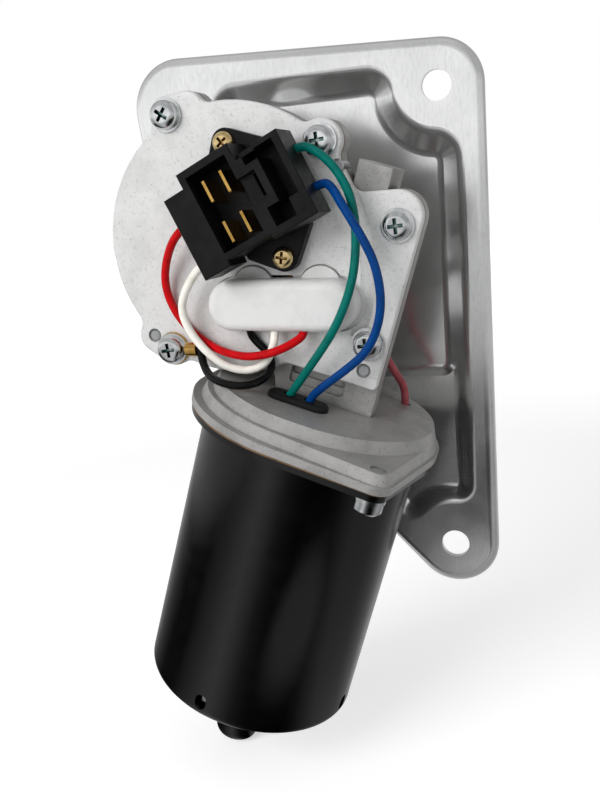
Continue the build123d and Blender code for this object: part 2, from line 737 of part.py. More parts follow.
with BuildSketch() as wheel_tooth:
    with BuildLine():
        Polyline(
            (WHEEL_ROOT_R - 0.6, -HALF_TOOTH - FLANK * (WHEEL_PITCH_R - WHEEL_ROOT_R)),
            (WHEEL_ROOT_R, -HALF_TOOTH - FLANK * (WHEEL_PITCH_R - WHEEL_ROOT_R)),
            (WHEEL_TIP_R, -HALF_TOOTH + FLANK * MODULE),
            (WHEEL_TIP_R, HALF_TOOTH - FLANK * MODULE),
            (WHEEL_ROOT_R, HALF_TOOTH + FLANK * (WHEEL_PITCH_R - WHEEL_ROOT_R)),
            (WHEEL_ROOT_R - 0.6, HALF_TOOTH + FLANK * (WHEEL_PITCH_R - WHEEL_ROOT_R)),
            close=True,
        )
    make_face()


def wheel_section(y):
    """Toothed outline at depth y, turned to follow the worm's lead."""
    lead_turn = -math.degrees((y - MOTOR_Y) * math.tan(math.radians(LEAD_ANGLE)) / WHEEL_PITCH_R)
    with BuildSketch(facing(y)) as section:
        Circle(WHEEL_ROOT_R)
        with PolarLocations(0, WHEEL_TEETH, -MOTOR_TILT + lead_turn):
            add(wheel_tooth.sketch)
    return section.sketch


with BuildPart() as worm_wheel:
    with BuildSketch(facing(MOTOR_Y - WHEEL_WIDTH / 2)):
        add(wheel_section(MOTOR_Y - WHEEL_WIDTH / 2))
    with BuildSketch(facing(MOTOR_Y + WHEEL_WIDTH / 2)):
        add(wheel_section(MOTOR_Y + WHEEL_WIDTH / 2))
    loft(ruled=True)
    with BuildSketch(facing(MOTOR_Y - WHEEL_WIDTH / 2)):
        Circle(WHEEL_ROOT_R - 3.2)
    extrude(amount=-(WEB_FRONT - MOTOR_Y + WHEEL_WIDTH / 2), mode=Mode.SUBTRACT)
    with BuildSketch(facing(WEB_BACK)):
        Circle(WHEEL_ROOT_R - 3.2)
    extrude(amount=-(MOTOR_Y + WHEEL_WIDTH / 2 - WEB_BACK), mode=Mode.SUBTRACT)
    with BuildSketch(facing(MOTOR_Y - WHEEL_WIDTH / 2)):
        Circle(HUB_R)
    extrude(amount=-(HUB_BACK - MOTOR_Y + WHEEL_WIDTH / 2))
    with BuildSketch(facing(WEB_BACK)):
        with PolarLocations((HUB_R + WHEEL_ROOT_R - 3.2) / 2, 6):
            Rectangle(WHEEL_ROOT_R - 2.6 - HUB_R, 1.8)
    extrude(amount=-0.8)
    with BuildSketch(facing(MOTOR_Y - WHEEL_WIDTH)):
        Circle(OUTPUT_R + FIT)
    extrude(amount=-3 * WHEEL_WIDTH, mode=Mode.SUBTRACT)
finish(worm_wheel.part, "worm_wheel")

with BuildPart() as worm_thread:
    with BuildLine():
        helix = Helix(AXIAL_PITCH, 8 * AXIAL_PITCH, WORM_PITCH_R, center=(0, 0, -4 * AXIAL_PITCH))
    with BuildSketch(Plane(origin=helix @ 0, x_dir=(1, 0, 0), z_dir=(0, 1, 0))):
        with BuildLine():
            Polyline(
                (-WORM_PITCH_R + WORM_ROOT_R - 0.5, -HALF_TOOTH - FLANK * (WORM_PITCH_R - WORM_ROOT_R + 0.5)),
                (MODULE, -HALF_TOOTH + FLANK * MODULE),
                (MODULE, HALF_TOOTH - FLANK * MODULE),
                (-WORM_PITCH_R + WORM_ROOT_R - 0.5, HALF_TOOTH + FLANK * (WORM_PITCH_R - WORM_ROOT_R + 0.5)),
                close=True,
            )
        make_face()
    sweep(path=helix, is_frenet=True)

with BuildPart() as armature_shaft:
    with BuildSketch(along(SHAFT_TOP)):
        Circle(SHAFT_R)
    extrude(amount=-SHAFT_TOP - WORM_LENGTH / 2)
    with BuildSketch(along(-WORM_LENGTH / 2)):
        Circle(WORM_ROOT_R)
    extrude(amount=WORM_LENGTH)
    with BuildSketch(along(WORM_LENGTH / 2)):
        Circle(SHAFT_R)
    extrude(amount=SHAFT_END - WORM_LENGTH / 2)
    add(along(0).location * worm_thread.part)
    chamfer(armature_shaft.edges().filter_by(GeomType.CIRCLE).sort_by(SortBy.DISTANCE)[-1], 0.5)
finish(armature_shaft.part, "armature_shaft")

# ---------------------------------------------------------------------------------------------
# Output shaft with its bushes, seal and retaining ring
# ---------------------------------------------------------------------------------------------
SHAFT_FRONT = COVER_BACK + 2.5
CIRCLIP_T = 1.0
WASHER_END = BOSS_END + 0.85
GROOVE_START = WASHER_END + 0.05
SEAL_R = 0.95
SPLINES = 36

with BuildPart() as output_shaft:
    with BuildSketch(facing(SHAFT_FRONT)):
        Circle(OUTPUT_R)
    extrude(amount=-(TAPER_START - SHAFT_FRONT))
    with BuildSketch(facing(TAPER_START)):
        Circle(OUTPUT_R)
    with BuildSketch(facing(TAPER_START + TAPER_LENGTH)):
        Circle(TAPER_END_R)
    loft()
    with BuildSketch(facing(TAPER_START + TAPER_LENGTH)):
        Circle(THREAD_R)
    extrude(amount=-THREAD_LENGTH)
    chamfer(output_shaft.edges().filter_by(GeomType.CIRCLE).sort_by(Axis.Y)[-1], 0.8)
    chamfer(output_shaft.edges().filter_by(GeomType.CIRCLE).sort_by(Axis.Y)[0], 0.6)
    with BuildSketch(facing(GROOVE_START)):
        Circle(OUTPUT_R + 1)
        Circle(OUTPUT_R - 0.8, mode=Mode.SUBTRACT)
    extrude(amount=-CIRCLIP_T - 0.1, mode=Mode.SUBTRACT)
finish(output_shaft.part, "output_shaft")


def ring(plane, outer, inner, height, label):
    """Plain ring from the plane along its normal."""
    with BuildPart() as piece:
        with BuildSketch(plane):
            Circle(outer)
            Circle(inner, mode=Mode.SUBTRACT)
        extrude(amount=height)
    finish(piece.part, label)


ring(facing(CASE_FLOOR - 0.05), 10.0, OUTPUT_R + 0.2, HUB_BACK * -1 + CASE_FLOOR - 0.1, "wheel_thrust_washer")
ring(facing(WASHER_END), 9.5, OUTPUT_R + 0.2, WASHER_END - BOSS_END - 0.03, "output_washer")

with BuildPart() as output_bushes:
    for start, length in ((CASE_FLOOR, 12.0), (BOSS_END - 14.5, 12.0)):
        with BuildSketch(facing(start)):
            Circle(OUTPUT_BUSH_R)
            Circle(OUTPUT_R + RUNNING, mode=Mode.SUBTRACT)
        extrude(amount=-length)
finish(output_bushes.part, "output_bushes")

with BuildPart() as output_seal:
    with BuildSketch(Plane.XY):
        with Locations((OUTPUT_R + RUNNING + SEAL_R, BOSS_END - 1.2)):
            Circle(SEAL_R)
    revolve(axis=Axis.Y)
finish(output_seal.part, "output_seal")

with BuildPart() as output_circlip:
    with BuildSketch(facing(GROOVE_START + 0.05)):
        Circle(OUTPUT_R + 2.4)
        Circle(OUTPUT_R - 0.78, mode=Mode.SUBTRACT)
        with Locations((0, -OUTPUT_R - 1)):
            Rectangle(4.0, 6.0, mode=Mode.SUBTRACT)
    extrude(amount=-CIRCLIP_T)
finish(output_circlip.part, "output_circlip")

# ---------------------------------------------------------------------------------------------
# Park switch: contact disc on the wheel, contact plate and fingers under the cover
# ---------------------------------------------------------------------------------------------
DISC_T = 0.8
PLATE_T = 1.6
FINGER_RADII = (13.5, 17.0, 20.5)
FINGER_T = 0.4

with BuildPart() as park_disc:
    with BuildSketch(facing(WEB_FRONT)):
        Circle(22.5)
        Circle(11.5, mode=Mode.SUBTRACT)
        with Locations(Location((0, 0, 0), (0, 0, 40))):
            with Locations((20.8, 0)):
                Rectangle(4.2, 9.0, mode=Mode.SUBTRACT)
    extrude(amount=DISC_T)
finish(park_disc.part, "park_disc")

with BuildPart() as contact_plate:
    with BuildSketch(facing(COVER_BACK + PLATE_T)):
        with Locations((-2.0, 16.5)):
            RectangleRounded(14.0, 14.0, 2.0)
    extrude(amount=PLATE_T)
finish(contact_plate.part, "contact_plate")

finger_root = COVER_BACK + PLATE_T
finger_tip = WEB_FRONT - DISC_T - 0.1
with BuildPart() as park_contacts:
    for radius in FINGER_RADII:
        with BuildSketch(Plane(origin=(-2, 0, radius), z_dir=(0, 0, 1))):
            with BuildLine():
                Polyline(
                    (-4.0, finger_root),
                    (3.4, finger_root),
                    (-7.1, finger_tip),
                    (-9.5, finger_tip - 0.6),
                    (-9.3, finger_tip - 0.6 - FINGER_T),
                    (-7.0, finger_tip - FINGER_T),
                    (2.0, finger_root + FINGER_T),
                    (-4.0, finger_root + FINGER_T),
                    close=True,
                )
            make_face()
        extrude(amount=1.1, both=True)
finish(park_contacts.part, "park_contacts")

# ---------------------------------------------------------------------------------------------
# Armature bearings and thrust ball
# ---------------------------------------------------------------------------------------------
BALL_R = 2.0
BALL_PITCH_R = 7.5
BALL_COUNT = 7
BALL_PLAY = 0.05
REAR_BUSH_START = 145.0
REAR_BUSH_L = 10.0

ring(along(LUG_BORE + 3.0), BUSH_R, SHAFT_R + RUNNING, 5.5, "lug_bush")
with BuildPart() as lug_thrust_pad:
    with BuildSketch(along(LUG_BORE)):
        Circle(BUSH_R - 0.4)
    extrude(amount=1.45)
finish(lug_thrust_pad.part, "lug_thrust_pad")


def bearing_race(inner, outer, label):
    """One race of the ball bearing, grooved for the balls."""
    with BuildPart() as race:
        with BuildSketch(along(BEARING_START)):
            Circle(outer)
            Circle(inner, mode=Mode.SUBTRACT)
        extrude(amount=BEARING_W)
        with BuildSketch(beyond(BEARING_START + BEARING_W / 2)):
            with Locations((BALL_PITCH_R, 0)):
                Circle(BALL_R + BALL_PLAY)
        revolve(axis=MOTOR_AXIS, mode=Mode.SUBTRACT)
    finish(race.part, label)


bearing_race(SHAFT_R, BALL_PITCH_R - 1.1, "bearing_inner_race")
bearing_race(BALL_PITCH_R + 1.1, BEARING_R, "bearing_outer_race")
with BuildPart() as bearing_balls:
    with Locations(along(BEARING_START + BEARING_W / 2).location):
        with PolarLocations(BALL_PITCH_R, BALL_COUNT):
            Sphere(BALL_R)
finish(bearing_balls.part, "bearing_balls")

ring(along(REAR_BUSH_START), YOKE_BOSS_R - BOSS_WALL, SHAFT_R + RUNNING, REAR_BUSH_L, "rear_bush")
with BuildPart() as thrust_ball:
    with Locations(along(SHAFT_END + THRUST_BALL_R + 0.03).location):
        Sphere(THRUST_BALL_R)
finish(thrust_ball.part, "thrust_ball")

# ---------------------------------------------------------------------------------------------
# Armature core, windings and commutator
# ---------------------------------------------------------------------------------------------
SLOT_INNER_R = 11.0
SLOT_OUTER_R = 19.0
SLOT_W = 5.4
SLOT_GAP = 1.8
SLOT_LINER = 0.3
COIL_INNER_R = 6.5


def slot_shape(inset):
    with BuildSketch() as shape:
        with BuildLine():
            Polyline(
                (SLOT_INNER_R + inset, -SLOT_W / 3 + inset),
                (SLOT_OUTER_R - inset, -SLOT_W / 2 + inset),
                (SLOT_OUTER_R - inset, SLOT_W / 2 - inset),
                (SLOT_INNER_R + inset, SLOT_W / 3 - inset),
                close=True,
            )
        make_face()
        fillet(shape.vertices(), 1.0)
    return shape.sketch


with BuildPart() as armature_core:
    with BuildSketch(along(CORE_START)):
        Circle(CORE_R)
        Circle(SHAFT_R, mode=Mode.SUBTRACT)
        with PolarLocations(0, CORE_SLOTS):
            add(slot_shape(0), mode=Mode.SUBTRACT)
            with Locations(((SLOT_OUTER_R + CORE_R) / 2, 0)):
                Rectangle(CORE_R - SLOT_OUTER_R + 1.5, SLOT_GAP, mode=Mode.SUBTRACT)
    extrude(amount=CORE_END - CORE_START)
finish(armature_core.part, "armature_core")

with BuildPart() as armature_windings:
    with BuildSketch(along(CORE_START - 1)):
        with PolarLocations(0, CORE_SLOTS):
            add(slot_shape(SLOT_LINER))
    extrude(amount=CORE_END - CORE_START + 2)
    for middle in (CORE_START - SLOT_LINER - WINDING_OVERHANG / 2, CORE_END + SLOT_LINER + WINDING_OVERHANG / 2):
        with BuildSketch(beyond(middle)):
            with Locations(((SLOT_OUTER_R + 0.8 + COIL_INNER_R) / 2, 0)):
                RectangleRounded(SLOT_OUTER_R + 0.8 - COIL_INNER_R, WINDING_OVERHANG, 3.5)
        revolve(axis=MOTOR_AXIS)
finish(armature_windings.part, "armature_windings")

with BuildPart() as commutator:
    with BuildSketch(along(COMMUTATOR_START)):
        Circle(COMMUTATOR_R)
        Circle(SHAFT_R, mode=Mode.SUBTRACT)
    extrude(amount=COMMUTATOR_END - COMMUTATOR_START)
    with BuildSketch(along(COMMUTATOR_START)):
        with PolarLocations(COMMUTATOR_R, CORE_SLOTS, 360 / CORE_SLOTS / 2):
            Rectangle(1.6, 0.6)
    extrude(amount=COMMUTATOR_END - COMMUTATOR_START, mode=Mode.SUBTRACT)
    with BuildSketch(along(COMMUTATOR_END - 2.4)):
        with PolarLocations(COMMUTATOR_R + 0.4, CORE_SLOTS):
            Rectangle(2.6, 3.0)
    extrude(amount=2.0)
finish(commutator.part, "commutator")

# ---------------------------------------------------------------------------------------------
# Brush gear
# ---------------------------------------------------------------------------------------------
BRUSH_PLATE_T = 2.0
BRUSH_START = 52.5
HOLDER_WALL = 0.8
BRUSH_LENGTH = 10.0
HOLDER_OUTER = 27.0
brush_w, brush_h = BRUSH_SIZE
plate_end = FLANGE_END + 0.05 + BRUSH_PLATE_T

with BuildPart() as brush_plate:
    with BuildSketch(along(FLANGE_END + 0.05)):
        Circle(YOKE_BORE_R - 0.3)
        Circle(COMMUTATOR_R + 1.6, mode=Mode.SUBTRACT)
    extrude(amount=BRUSH_PLATE_T)
    for angle in BRUSH_ANGLES:
        with BuildSketch(along(plate_end)):
            with Locations(Location((0, 0, 0), (0, 0, angle))):
                with Locations(((HOLDER_OUTER + 13.6) / 2, 0)):
                    Rectangle(HOLDER_OUTER - 13.6, brush_w + 2 * HOLDER_WALL)
        extrude(amount=BRUSH_START + brush_h + HOLDER_WALL - plate_end)
    for angle in BRUSH_ANGLES:
        with BuildSketch(along(BRUSH_START - 0.1)):
            with Locations(Location((0, 0, 0), (0, 0, angle))):
                with Locations(((HOLDER_OUTER - HOLDER_WALL + 10) / 2, 0)):
                    Rectangle(HOLDER_OUTER - HOLDER_WALL - 10, brush_w + 0.2)
        extrude(amount=brush_h + 0.2, mode=Mode.SUBTRACT)
finish(brush_plate.part, "brush_plate")

with BuildPart() as brushes:
    for angle in BRUSH_ANGLES:
        with BuildSketch(along(BRUSH_START)):
            with Locations(Location((0, 0, 0), (0, 0, angle))):
                with Locations((COMMUTATOR_R - 0.3 + BRUSH_LENGTH / 2, 0)):
                    Rectangle(BRUSH_LENGTH, brush_w)
                Circle(COMMUTATOR_R + RUNNING, mode=Mode.SUBTRACT)
        extrude(amount=brush_h)
finish(brushes.part, "brushes")

spring_start = COMMUTATOR_R - 0.3 + BRUSH_LENGTH + 0.05
spring_end = HOLDER_OUTER - HOLDER_WALL - 0.05
WAVE = 0.35  # strip thickness of a brush spring
with BuildSketch() as spring_shape:
    with BuildLine():
        Polyline(
            (spring_start, -2.0),
            (spring_start, 2.0),
            (spring_start + WAVE, 2.0),
            ((spring_start + spring_end) / 2, -1.0),
            (spring_end - WAVE, 2.0),
            (spring_end, 2.0),
            (spring_end, -2.0),
            (spring_end - WAVE, -2.0),
            (spring_end - WAVE, 1.0),
            ((spring_start + spring_end) / 2, -2.0),
            (spring_start + WAVE, 1.0),
            (spring_start + WAVE, -2.0),
            close=True,
        )
    make_face()

with BuildPart() as brush_springs:
    with BuildSketch(along(BRUSH_START + 1.0)):
        for angle in BRUSH_ANGLES:
            with Locations(Location((0, 0, 0), (0, 0, angle))):
                add(spring_shape.sketch)
    extrude(amount=brush_h - 2.0)
finish(brush_springs.part, "brush_springs")

# ---------------------------------------------------------------------------------------------
# Yoke: drawn can with magnets, clips, gasket and screws
# ---------------------------------------------------------------------------------------------
RIM_INSET = 0.5  # the yoke's rim lies this far inside the flange's edge

with BuildPart() as yoke_gasket:
    with BuildSketch(along(FLANGE_END)):
        add(flange_outline(0.2, True))
        Circle(YOKE_BORE_R, mode=Mode.SUBTRACT)
        with Locations(*EARS):
            Circle(YOKE_SCREW_R + 0.3, mode=Mode.SUBTRACT)
    extrude(amount=YOKE_GASKET_T)
finish(yoke_gasket.part, "yoke_gasket")

with BuildPart() as motor_yoke:
    with BuildSketch(along(YOKE_START)):
        add(flange_outline(RIM_INSET, True))
    extrude(amount=YOKE_RIM_T)
    # Drawn can: round bottom edge, short cone and long bearing boss
    with BuildSketch(beyond(0)) as can_profile:
        with BuildLine():
            Polyline(
                (YOKE_BORE_R, YOKE_START),
                (YOKE_R, YOKE_START),
                (YOKE_R, YOKE_END),
                (YOKE_CONE_R, YOKE_END),
                (YOKE_BOSS_R + 1.0, YOKE_CONE_END),
                (YOKE_BOSS_R, YOKE_CONE_END + 2.0),
                (YOKE_BOSS_R, YOKE_BOSS_END),
                (0, YOKE_BOSS_END),
                (0, YOKE_BOSS_END - BOSS_WALL),
                (YOKE_BOSS_R - BOSS_WALL, YOKE_BOSS_END - BOSS_WALL),
                (YOKE_BOSS_R - BOSS_WALL, YOKE_CONE_END),
                (YOKE_CONE_R - YOKE_WALL, YOKE_FLOOR),
                (YOKE_BORE_R, YOKE_FLOOR),
                close=True,
            )
        make_face()
        fillet(can_profile.vertices().sort_by_distance((YOKE_R, YOKE_END))[0], YOKE_EDGE_R)
        fillet(can_profile.vertices().sort_by_distance((YOKE_BORE_R, YOKE_FLOOR))[0], YOKE_EDGE_R - 1)
        fillet(can_profile.vertices().sort_by_distance((YOKE_BOSS_R, YOKE_BOSS_END))[0], 3.0)
        fillet(can_profile.vertices().sort_by_distance((YOKE_CONE_R, YOKE_END))[0], 2.0)
    revolve(axis=MOTOR_AXIS)
    with BuildSketch(along(YOKE_START)):
        Circle(YOKE_BORE_R)
        with Locations(*EARS):
            Circle(YOKE_SCREW_R + 0.2)
    extrude(amount=YOKE_RIM_T + 1, mode=Mode.SUBTRACT)
    # Vents round the closed end
    for quarter in range(4):
        turn = math.radians(VENT_ANGLE + 90 * quarter)
        outwards = ACROSS * math.cos(turn) + Vector(0, -math.sin(turn), 0)
        with BuildSketch(Plane(origin=along(VENT_T).origin, x_dir=AXIS, z_dir=outwards)):
            SlotOverall(2.6 * VENT_R, 2 * VENT_R)
        extrude(amount=YOKE_R + 1, mode=Mode.SUBTRACT)
finish(motor_yoke.part, "motor_yoke")

STOP_T = 128.0
STOP_LENGTH = 10.0
with BuildPart() as magnet_stops:
    for quarter in range(4):
        turn = math.radians(VENT_ANGLE + 90 * quarter)
        outwards = ACROSS * math.cos(turn) + Vector(0, -math.sin(turn), 0)
        strip = along(STOP_T).origin + outwards * (YOKE_BORE_R - 0.9)
        with BuildSketch(Plane(origin=strip, x_dir=AXIS, z_dir=outwards)):
            Rectangle(STOP_LENGTH, 1.4)
        extrude(amount=0.85)
finish(magnet_stops.part, "magnet_stops")

with BuildPart() as yoke_screws:
    for ear in EARS:
        seat = YOKE_START + YOKE_RIM_T + 1.0
        with BuildSketch(along(seat)):
            with Locations(ear):
                Circle(YOKE_HEAD_R)
        extrude(amount=YOKE_HEAD_H)
        with BuildSketch(along(seat)):
            with Locations(ear):
                Circle(YOKE_SCREW_R)
        extrude(amount=-(seat - STEP_T - 2))
    chamfer(yoke_screws.faces().sort_by(MOTOR_AXIS)[-2:].edges(), 0.7)
    with BuildSketch(along(seat + YOKE_HEAD_H)):
        with Locations(*EARS):
            Rectangle(4.6, 1.1)
            Rectangle(1.1, 4.6)
    extrude(amount=-2.0, mode=Mode.SUBTRACT)
finish(yoke_screws.part, "yoke_screws")

with BuildPart() as yoke_washers:
    with BuildSketch(along(YOKE_START + YOKE_RIM_T)):
        with Locations(*EARS):
            Circle(YOKE_HEAD_R + 0.3)
            Circle(YOKE_SCREW_R + 0.1, mode=Mode.SUBTRACT)
    extrude(amount=1.0)
finish(yoke_washers.part, "yoke_washers")


def arc_segment(outer, thickness, span, middle, start, length, label):
    """Two opposite segments of a tube along the motor's axis, centred on the `middle` angle."""
    with BuildPart() as pieces:
        with BuildSketch(along(start)):
            Circle(outer)
            Circle(outer - thickness, mode=Mode.SUBTRACT)
            for side in (0, 180):
                low = middle + side + span / 2
                high = middle + side + 180 - span / 2
                with BuildLine():
                    Polyline((0, 0), polar(4 * outer, low), polar(4 * outer, high), close=True)
                make_face(mode=Mode.SUBTRACT)
        extrude(amount=length)
    finish(pieces.part, label)


MAGNET_START = CORE_START - 3
MAGNET_LENGTH = CORE_END - CORE_START + 6
arc_segment(YOKE_BORE_R - 0.05, MAGNET_T, MAGNET_SPAN, 90, MAGNET_START, MAGNET_LENGTH, "magnets")
arc_segment(YOKE_BORE_R - 0.05, 1.2, 176 - MAGNET_SPAN, 0, MAGNET_START + 2, MAGNET_LENGTH - 4, "magnet_clips")

with BuildPart() as wire_grommet:
    with BuildSketch(along(PLATFORM_T - 1.8)):
        with Locations(GROMMET_AT):
            SlotOverall(18.4, 7.0)
    extrude(amount=1.8)
    fillet(wire_grommet.edges().group_by(MOTOR_AXIS)[0], 1.0)
    with BuildSketch(along(PLATFORM_T)):
        with Locations(GROMMET_AT):
            SlotOverall(15.0 - 2 * FIT, 4.4 - 2 * FIT)
    extrude(amount=STEP_T + 0.5 - PLATFORM_T)
    with BuildSketch(along(PLATFORM_T - 1.8)):
        with Locations((GROMMET_AT[0] - 3.1, GROMMET_AT[1]), (GROMMET_AT[0] + 3.1, GROMMET_AT[1])):
            Circle(WIRE_R + LEAD_PLAY)
    extrude(amount=3.0, mode=Mode.SUBTRACT)
finish(wire_grommet.part, "wire_grommet")

# ---------------------------------------------------------------------------------------------
# Mounting bracket: stamped sheet with a bent lip, a sunk tub and a raised seat
# ---------------------------------------------------------------------------------------------
FLANGE_FACE = -SHEET
TUB_CORNER_R = 9.0
FOOT_CORNER_R = 5.5
TUB_STEP_Z = -54.9  # where the step between the floors would meet the flange's face
TUB_DRAFT = 58.0
TUB_RIM_BEND = 5.0
TUB_FLOOR_BEND = 4.0
SEAT_DRAFT = 12.0
SEAT_RIM_BEND = 3.6
tub_slope = math.tan(math.radians(TUB_DRAFT))
tub_wall = SHEET / math.cos(math.radians(TUB_DRAFT))
floor_front = FLANGE_FACE + TUB_DEPTH
foot_front = FLANGE_FACE + TUB_FOOT_DEPTH
seat_rise = floor_front - SEAT_FRONT
seat_wall = SHEET / math.cos(math.radians(SEAT_DRAFT))
seat_foot_r = LEG_WASHER_R + 0.3 + seat_wall + seat_rise * math.tan(math.radians(SEAT_DRAFT))
leg_mouth_r = seat_foot_r + TUB_DEPTH * tub_slope
LEFT_X = CORNER_X - HOLE_X
FOOT_Z = CORNER_Z - HOLE_Z


def bracket_outline(inset):
    """Round lobes at the three mounting holes joined by straight sides."""
    with BuildSketch() as outline:
        for x, z, radius in (
            (CORNER_X, CORNER_Z, LAND_R),
            (CORNER_X, FOOT_Z, LAND_R),
            (CORNER_X - 14.0, FOOT_Z + 11.7, LAND_R - 2.2),
            (LEFT_X + 1.0, CORNER_Z + 2.0, LAND_R + 2.0),
            (LEFT_X + 14.0, CORNER_Z - 34.0, 22.0),
            (*polar(LEG_PCD_R, LEG_ANGLES[1]), leg_mouth_r + 5.5),
        ):
            with Locations((x, z)):
                Circle(radius - inset)
        make_hull()
    return outline.sketch


def tub_outline(inset, corner_r, bottom, top):
    """Mouth of the tub between two heights: it leaves a round land at each mounting hole."""
    with BuildSketch() as outline:
        add(bracket_outline(TUB_EDGE))
        with Locations(*[polar(LEG_PCD_R, angle) for angle in LEG_ANGLES]):
            Circle(leg_mouth_r)
        with Locations((CORNER_X, CORNER_Z), (LEFT_X, CORNER_Z)):
            Circle(CORNER_LAND_R, mode=Mode.SUBTRACT)
        with Locations((CORNER_X, FOOT_Z)):
            Circle(FOOT_LAND_R, mode=Mode.SUBTRACT)
        with Locations((0, (bottom + top) / 2)):
            Rectangle(2 * HOLE_Z, top - bottom, mode=Mode.INTERSECT)
        offset(amount=-corner_r)
        offset(amount=2 * corner_r)
        offset(amount=-corner_r - inset)
    return outline.sketch


def floor_outline(inset):
    """Mouth of the tub's deeper part, round the seat."""
    return tub_outline(inset, TUB_CORNER_R, TUB_STEP_Z, CORNER_Z + TUB_TOP)


def foot_outline(inset):
    """Mouth of the tub's shallower part, which runs on into the deeper one."""
    return tub_outline(inset, FOOT_CORNER_R, FOOT_Z - LAND_R, TUB_STEP_Z + 17.0)


def seat_outline(inset):
    """Rounded triangle under the three legs."""
    with BuildSketch() as outline:
        with BuildLine():
            Polyline(*[polar(LEG_PCD_R, angle) for angle in LEG_ANGLES], close=True)
        make_face()
        offset(amount=seat_foot_r - inset)
    return outline.sketch


with BuildPart() as mounting_bracket:
    # Flange with its bent lip
    with BuildSketch(facing(LIP - SHEET)):
        add(bracket_outline(0))
    extrude(amount=LIP)
    fillet(mounting_bracket.edges().group_by(Axis.Y)[0], 3.0)
    with BuildSketch(facing(LIP - SHEET)):
        add(bracket_outline(SHEET))
    extrude(amount=LIP - SHEET, mode=Mode.SUBTRACT)
    # Tub with two floors: the back of the sheet first, then its hollow
    for mouth, depth in ((floor_outline, TUB_DEPTH), (foot_outline, TUB_FOOT_DEPTH)):
        with BuildSketch(facing(FLANGE_FACE + depth + SHEET)):
            add(mouth((depth + SHEET) * tub_slope - tub_wall))
        extrude(amount=depth + SHEET - 1.0, taper=-TUB_DRAFT)
    for mouth, depth in ((floor_outline, TUB_DEPTH), (foot_outline, TUB_FOOT_DEPTH)):
        with BuildPart(mode=Mode.PRIVATE) as hollow:
            with BuildSketch(facing(FLANGE_FACE)):
                add(mouth(0))
            extrude(amount=-depth, taper=TUB_DRAFT)
            fillet(hollow.faces().sort_by(Axis.Y)[-1].edges(), TUB_FLOOR_BEND)
        add(hollow.part, mode=Mode.SUBTRACT)
    front = mounting_bracket.faces().filter_by(Axis.Y).sort_by(Axis.Y)[0]
    fillet(front.inner_wires()[0].edges(), TUB_RIM_BEND)
    # Seat standing on the deeper floor
    with BuildSketch(facing(floor_front)):
        add(seat_outline(0))
    extrude(amount=seat_rise, taper=SEAT_DRAFT)
    fillet(mounting_bracket.faces().sort_by(Axis.Y)[0].edges(), SEAT_RIM_BEND)
    with BuildSketch(facing(floor_front + SHEET)):
        add(seat_outline(seat_wall))
    extrude(amount=seat_rise, taper=SEAT_DRAFT, mode=Mode.SUBTRACT)
    # Holes
    with BuildSketch(facing(LIP)):
        with Locations((CORNER_X, CORNER_Z), (LEFT_X, CORNER_Z), (CORNER_X, FOOT_Z)):
            Circle(MOUNT_HOLE_R)
        Circle(OUTPUT_BOSS_R + 0.6)
        with PolarLocations(LEG_PCD_R, 3, LEG_ANGLES[0]):
            Circle(LEG_BOLT_R + 0.3)
    extrude(amount=40, mode=Mode.SUBTRACT)
finish(mounting_bracket.part, "mounting_bracket")

BOLT_HEAD_R = 5.5
seat_back = SEAT_FRONT + SHEET
with BuildPart() as bracket_washers:
    with BuildSketch(facing(seat_back)):
        with PolarLocations(LEG_PCD_R, 3, LEG_ANGLES[0]):
            Circle(LEG_WASHER_R)
            Circle(LEG_BOLT_R + 0.2, mode=Mode.SUBTRACT)
    extrude(amount=-1.2)
finish(bracket_washers.part, "bracket_washers")

with BuildPart() as bracket_bolts:
    with BuildSketch(facing(seat_back + 1.2)):
        with PolarLocations(LEG_PCD_R, 3, LEG_ANGLES[0]):
            RegularPolygon(BOLT_HEAD_R, 6)
    extrude(amount=-4.0)
    with BuildSketch(facing(seat_back + 1.2)):
        with PolarLocations(LEG_PCD_R, 3, LEG_ANGLES[0]):
            Circle(LEG_BOLT_R)
    extrude(amount=14.0)
finish(bracket_bolts.part, "bracket_bolts")

# ---------------------------------------------------------------------------------------------
# Leads
# ---------------------------------------------------------------------------------------------
def lead(points, label, radius=WIRE_R):
    """Insulated lead along straight runs joined by tangent arcs."""
    corners = [Vector(*point) for point in points]
    radii = []
    for before, corner, after in zip(corners, corners[1:], corners[2:]):
        run = min((corner - before).length, (after - corner).length)
        turn = (corner - before).get_angle(after - corner)
        radii.append(0.45 * run / math.tan(math.radians(turn / 2)))
    print(label, "bend radii", [round(r, 1) for r in radii])
    with BuildPart() as piece:
        with BuildLine() as route:
            FilletPolyline(*corners, radius=radii)
        with BuildSketch(Plane(origin=route.line @ 0, z_dir=route.line % 0)):
            Circle(radius)
        sweep(path=route.line)
    length = sum(edge.length for edge in route.edges())
    filled = piece.part.volume / (math.pi * radius**2 * length)
    print(label, "length", round(length, 1), "volume over section times length", round(filled, 4))
    finish(piece.part, label)


def behind(across, t, y):
    x, z = beside(across, t)
    return (round(x, 1), y, round(z, 1))


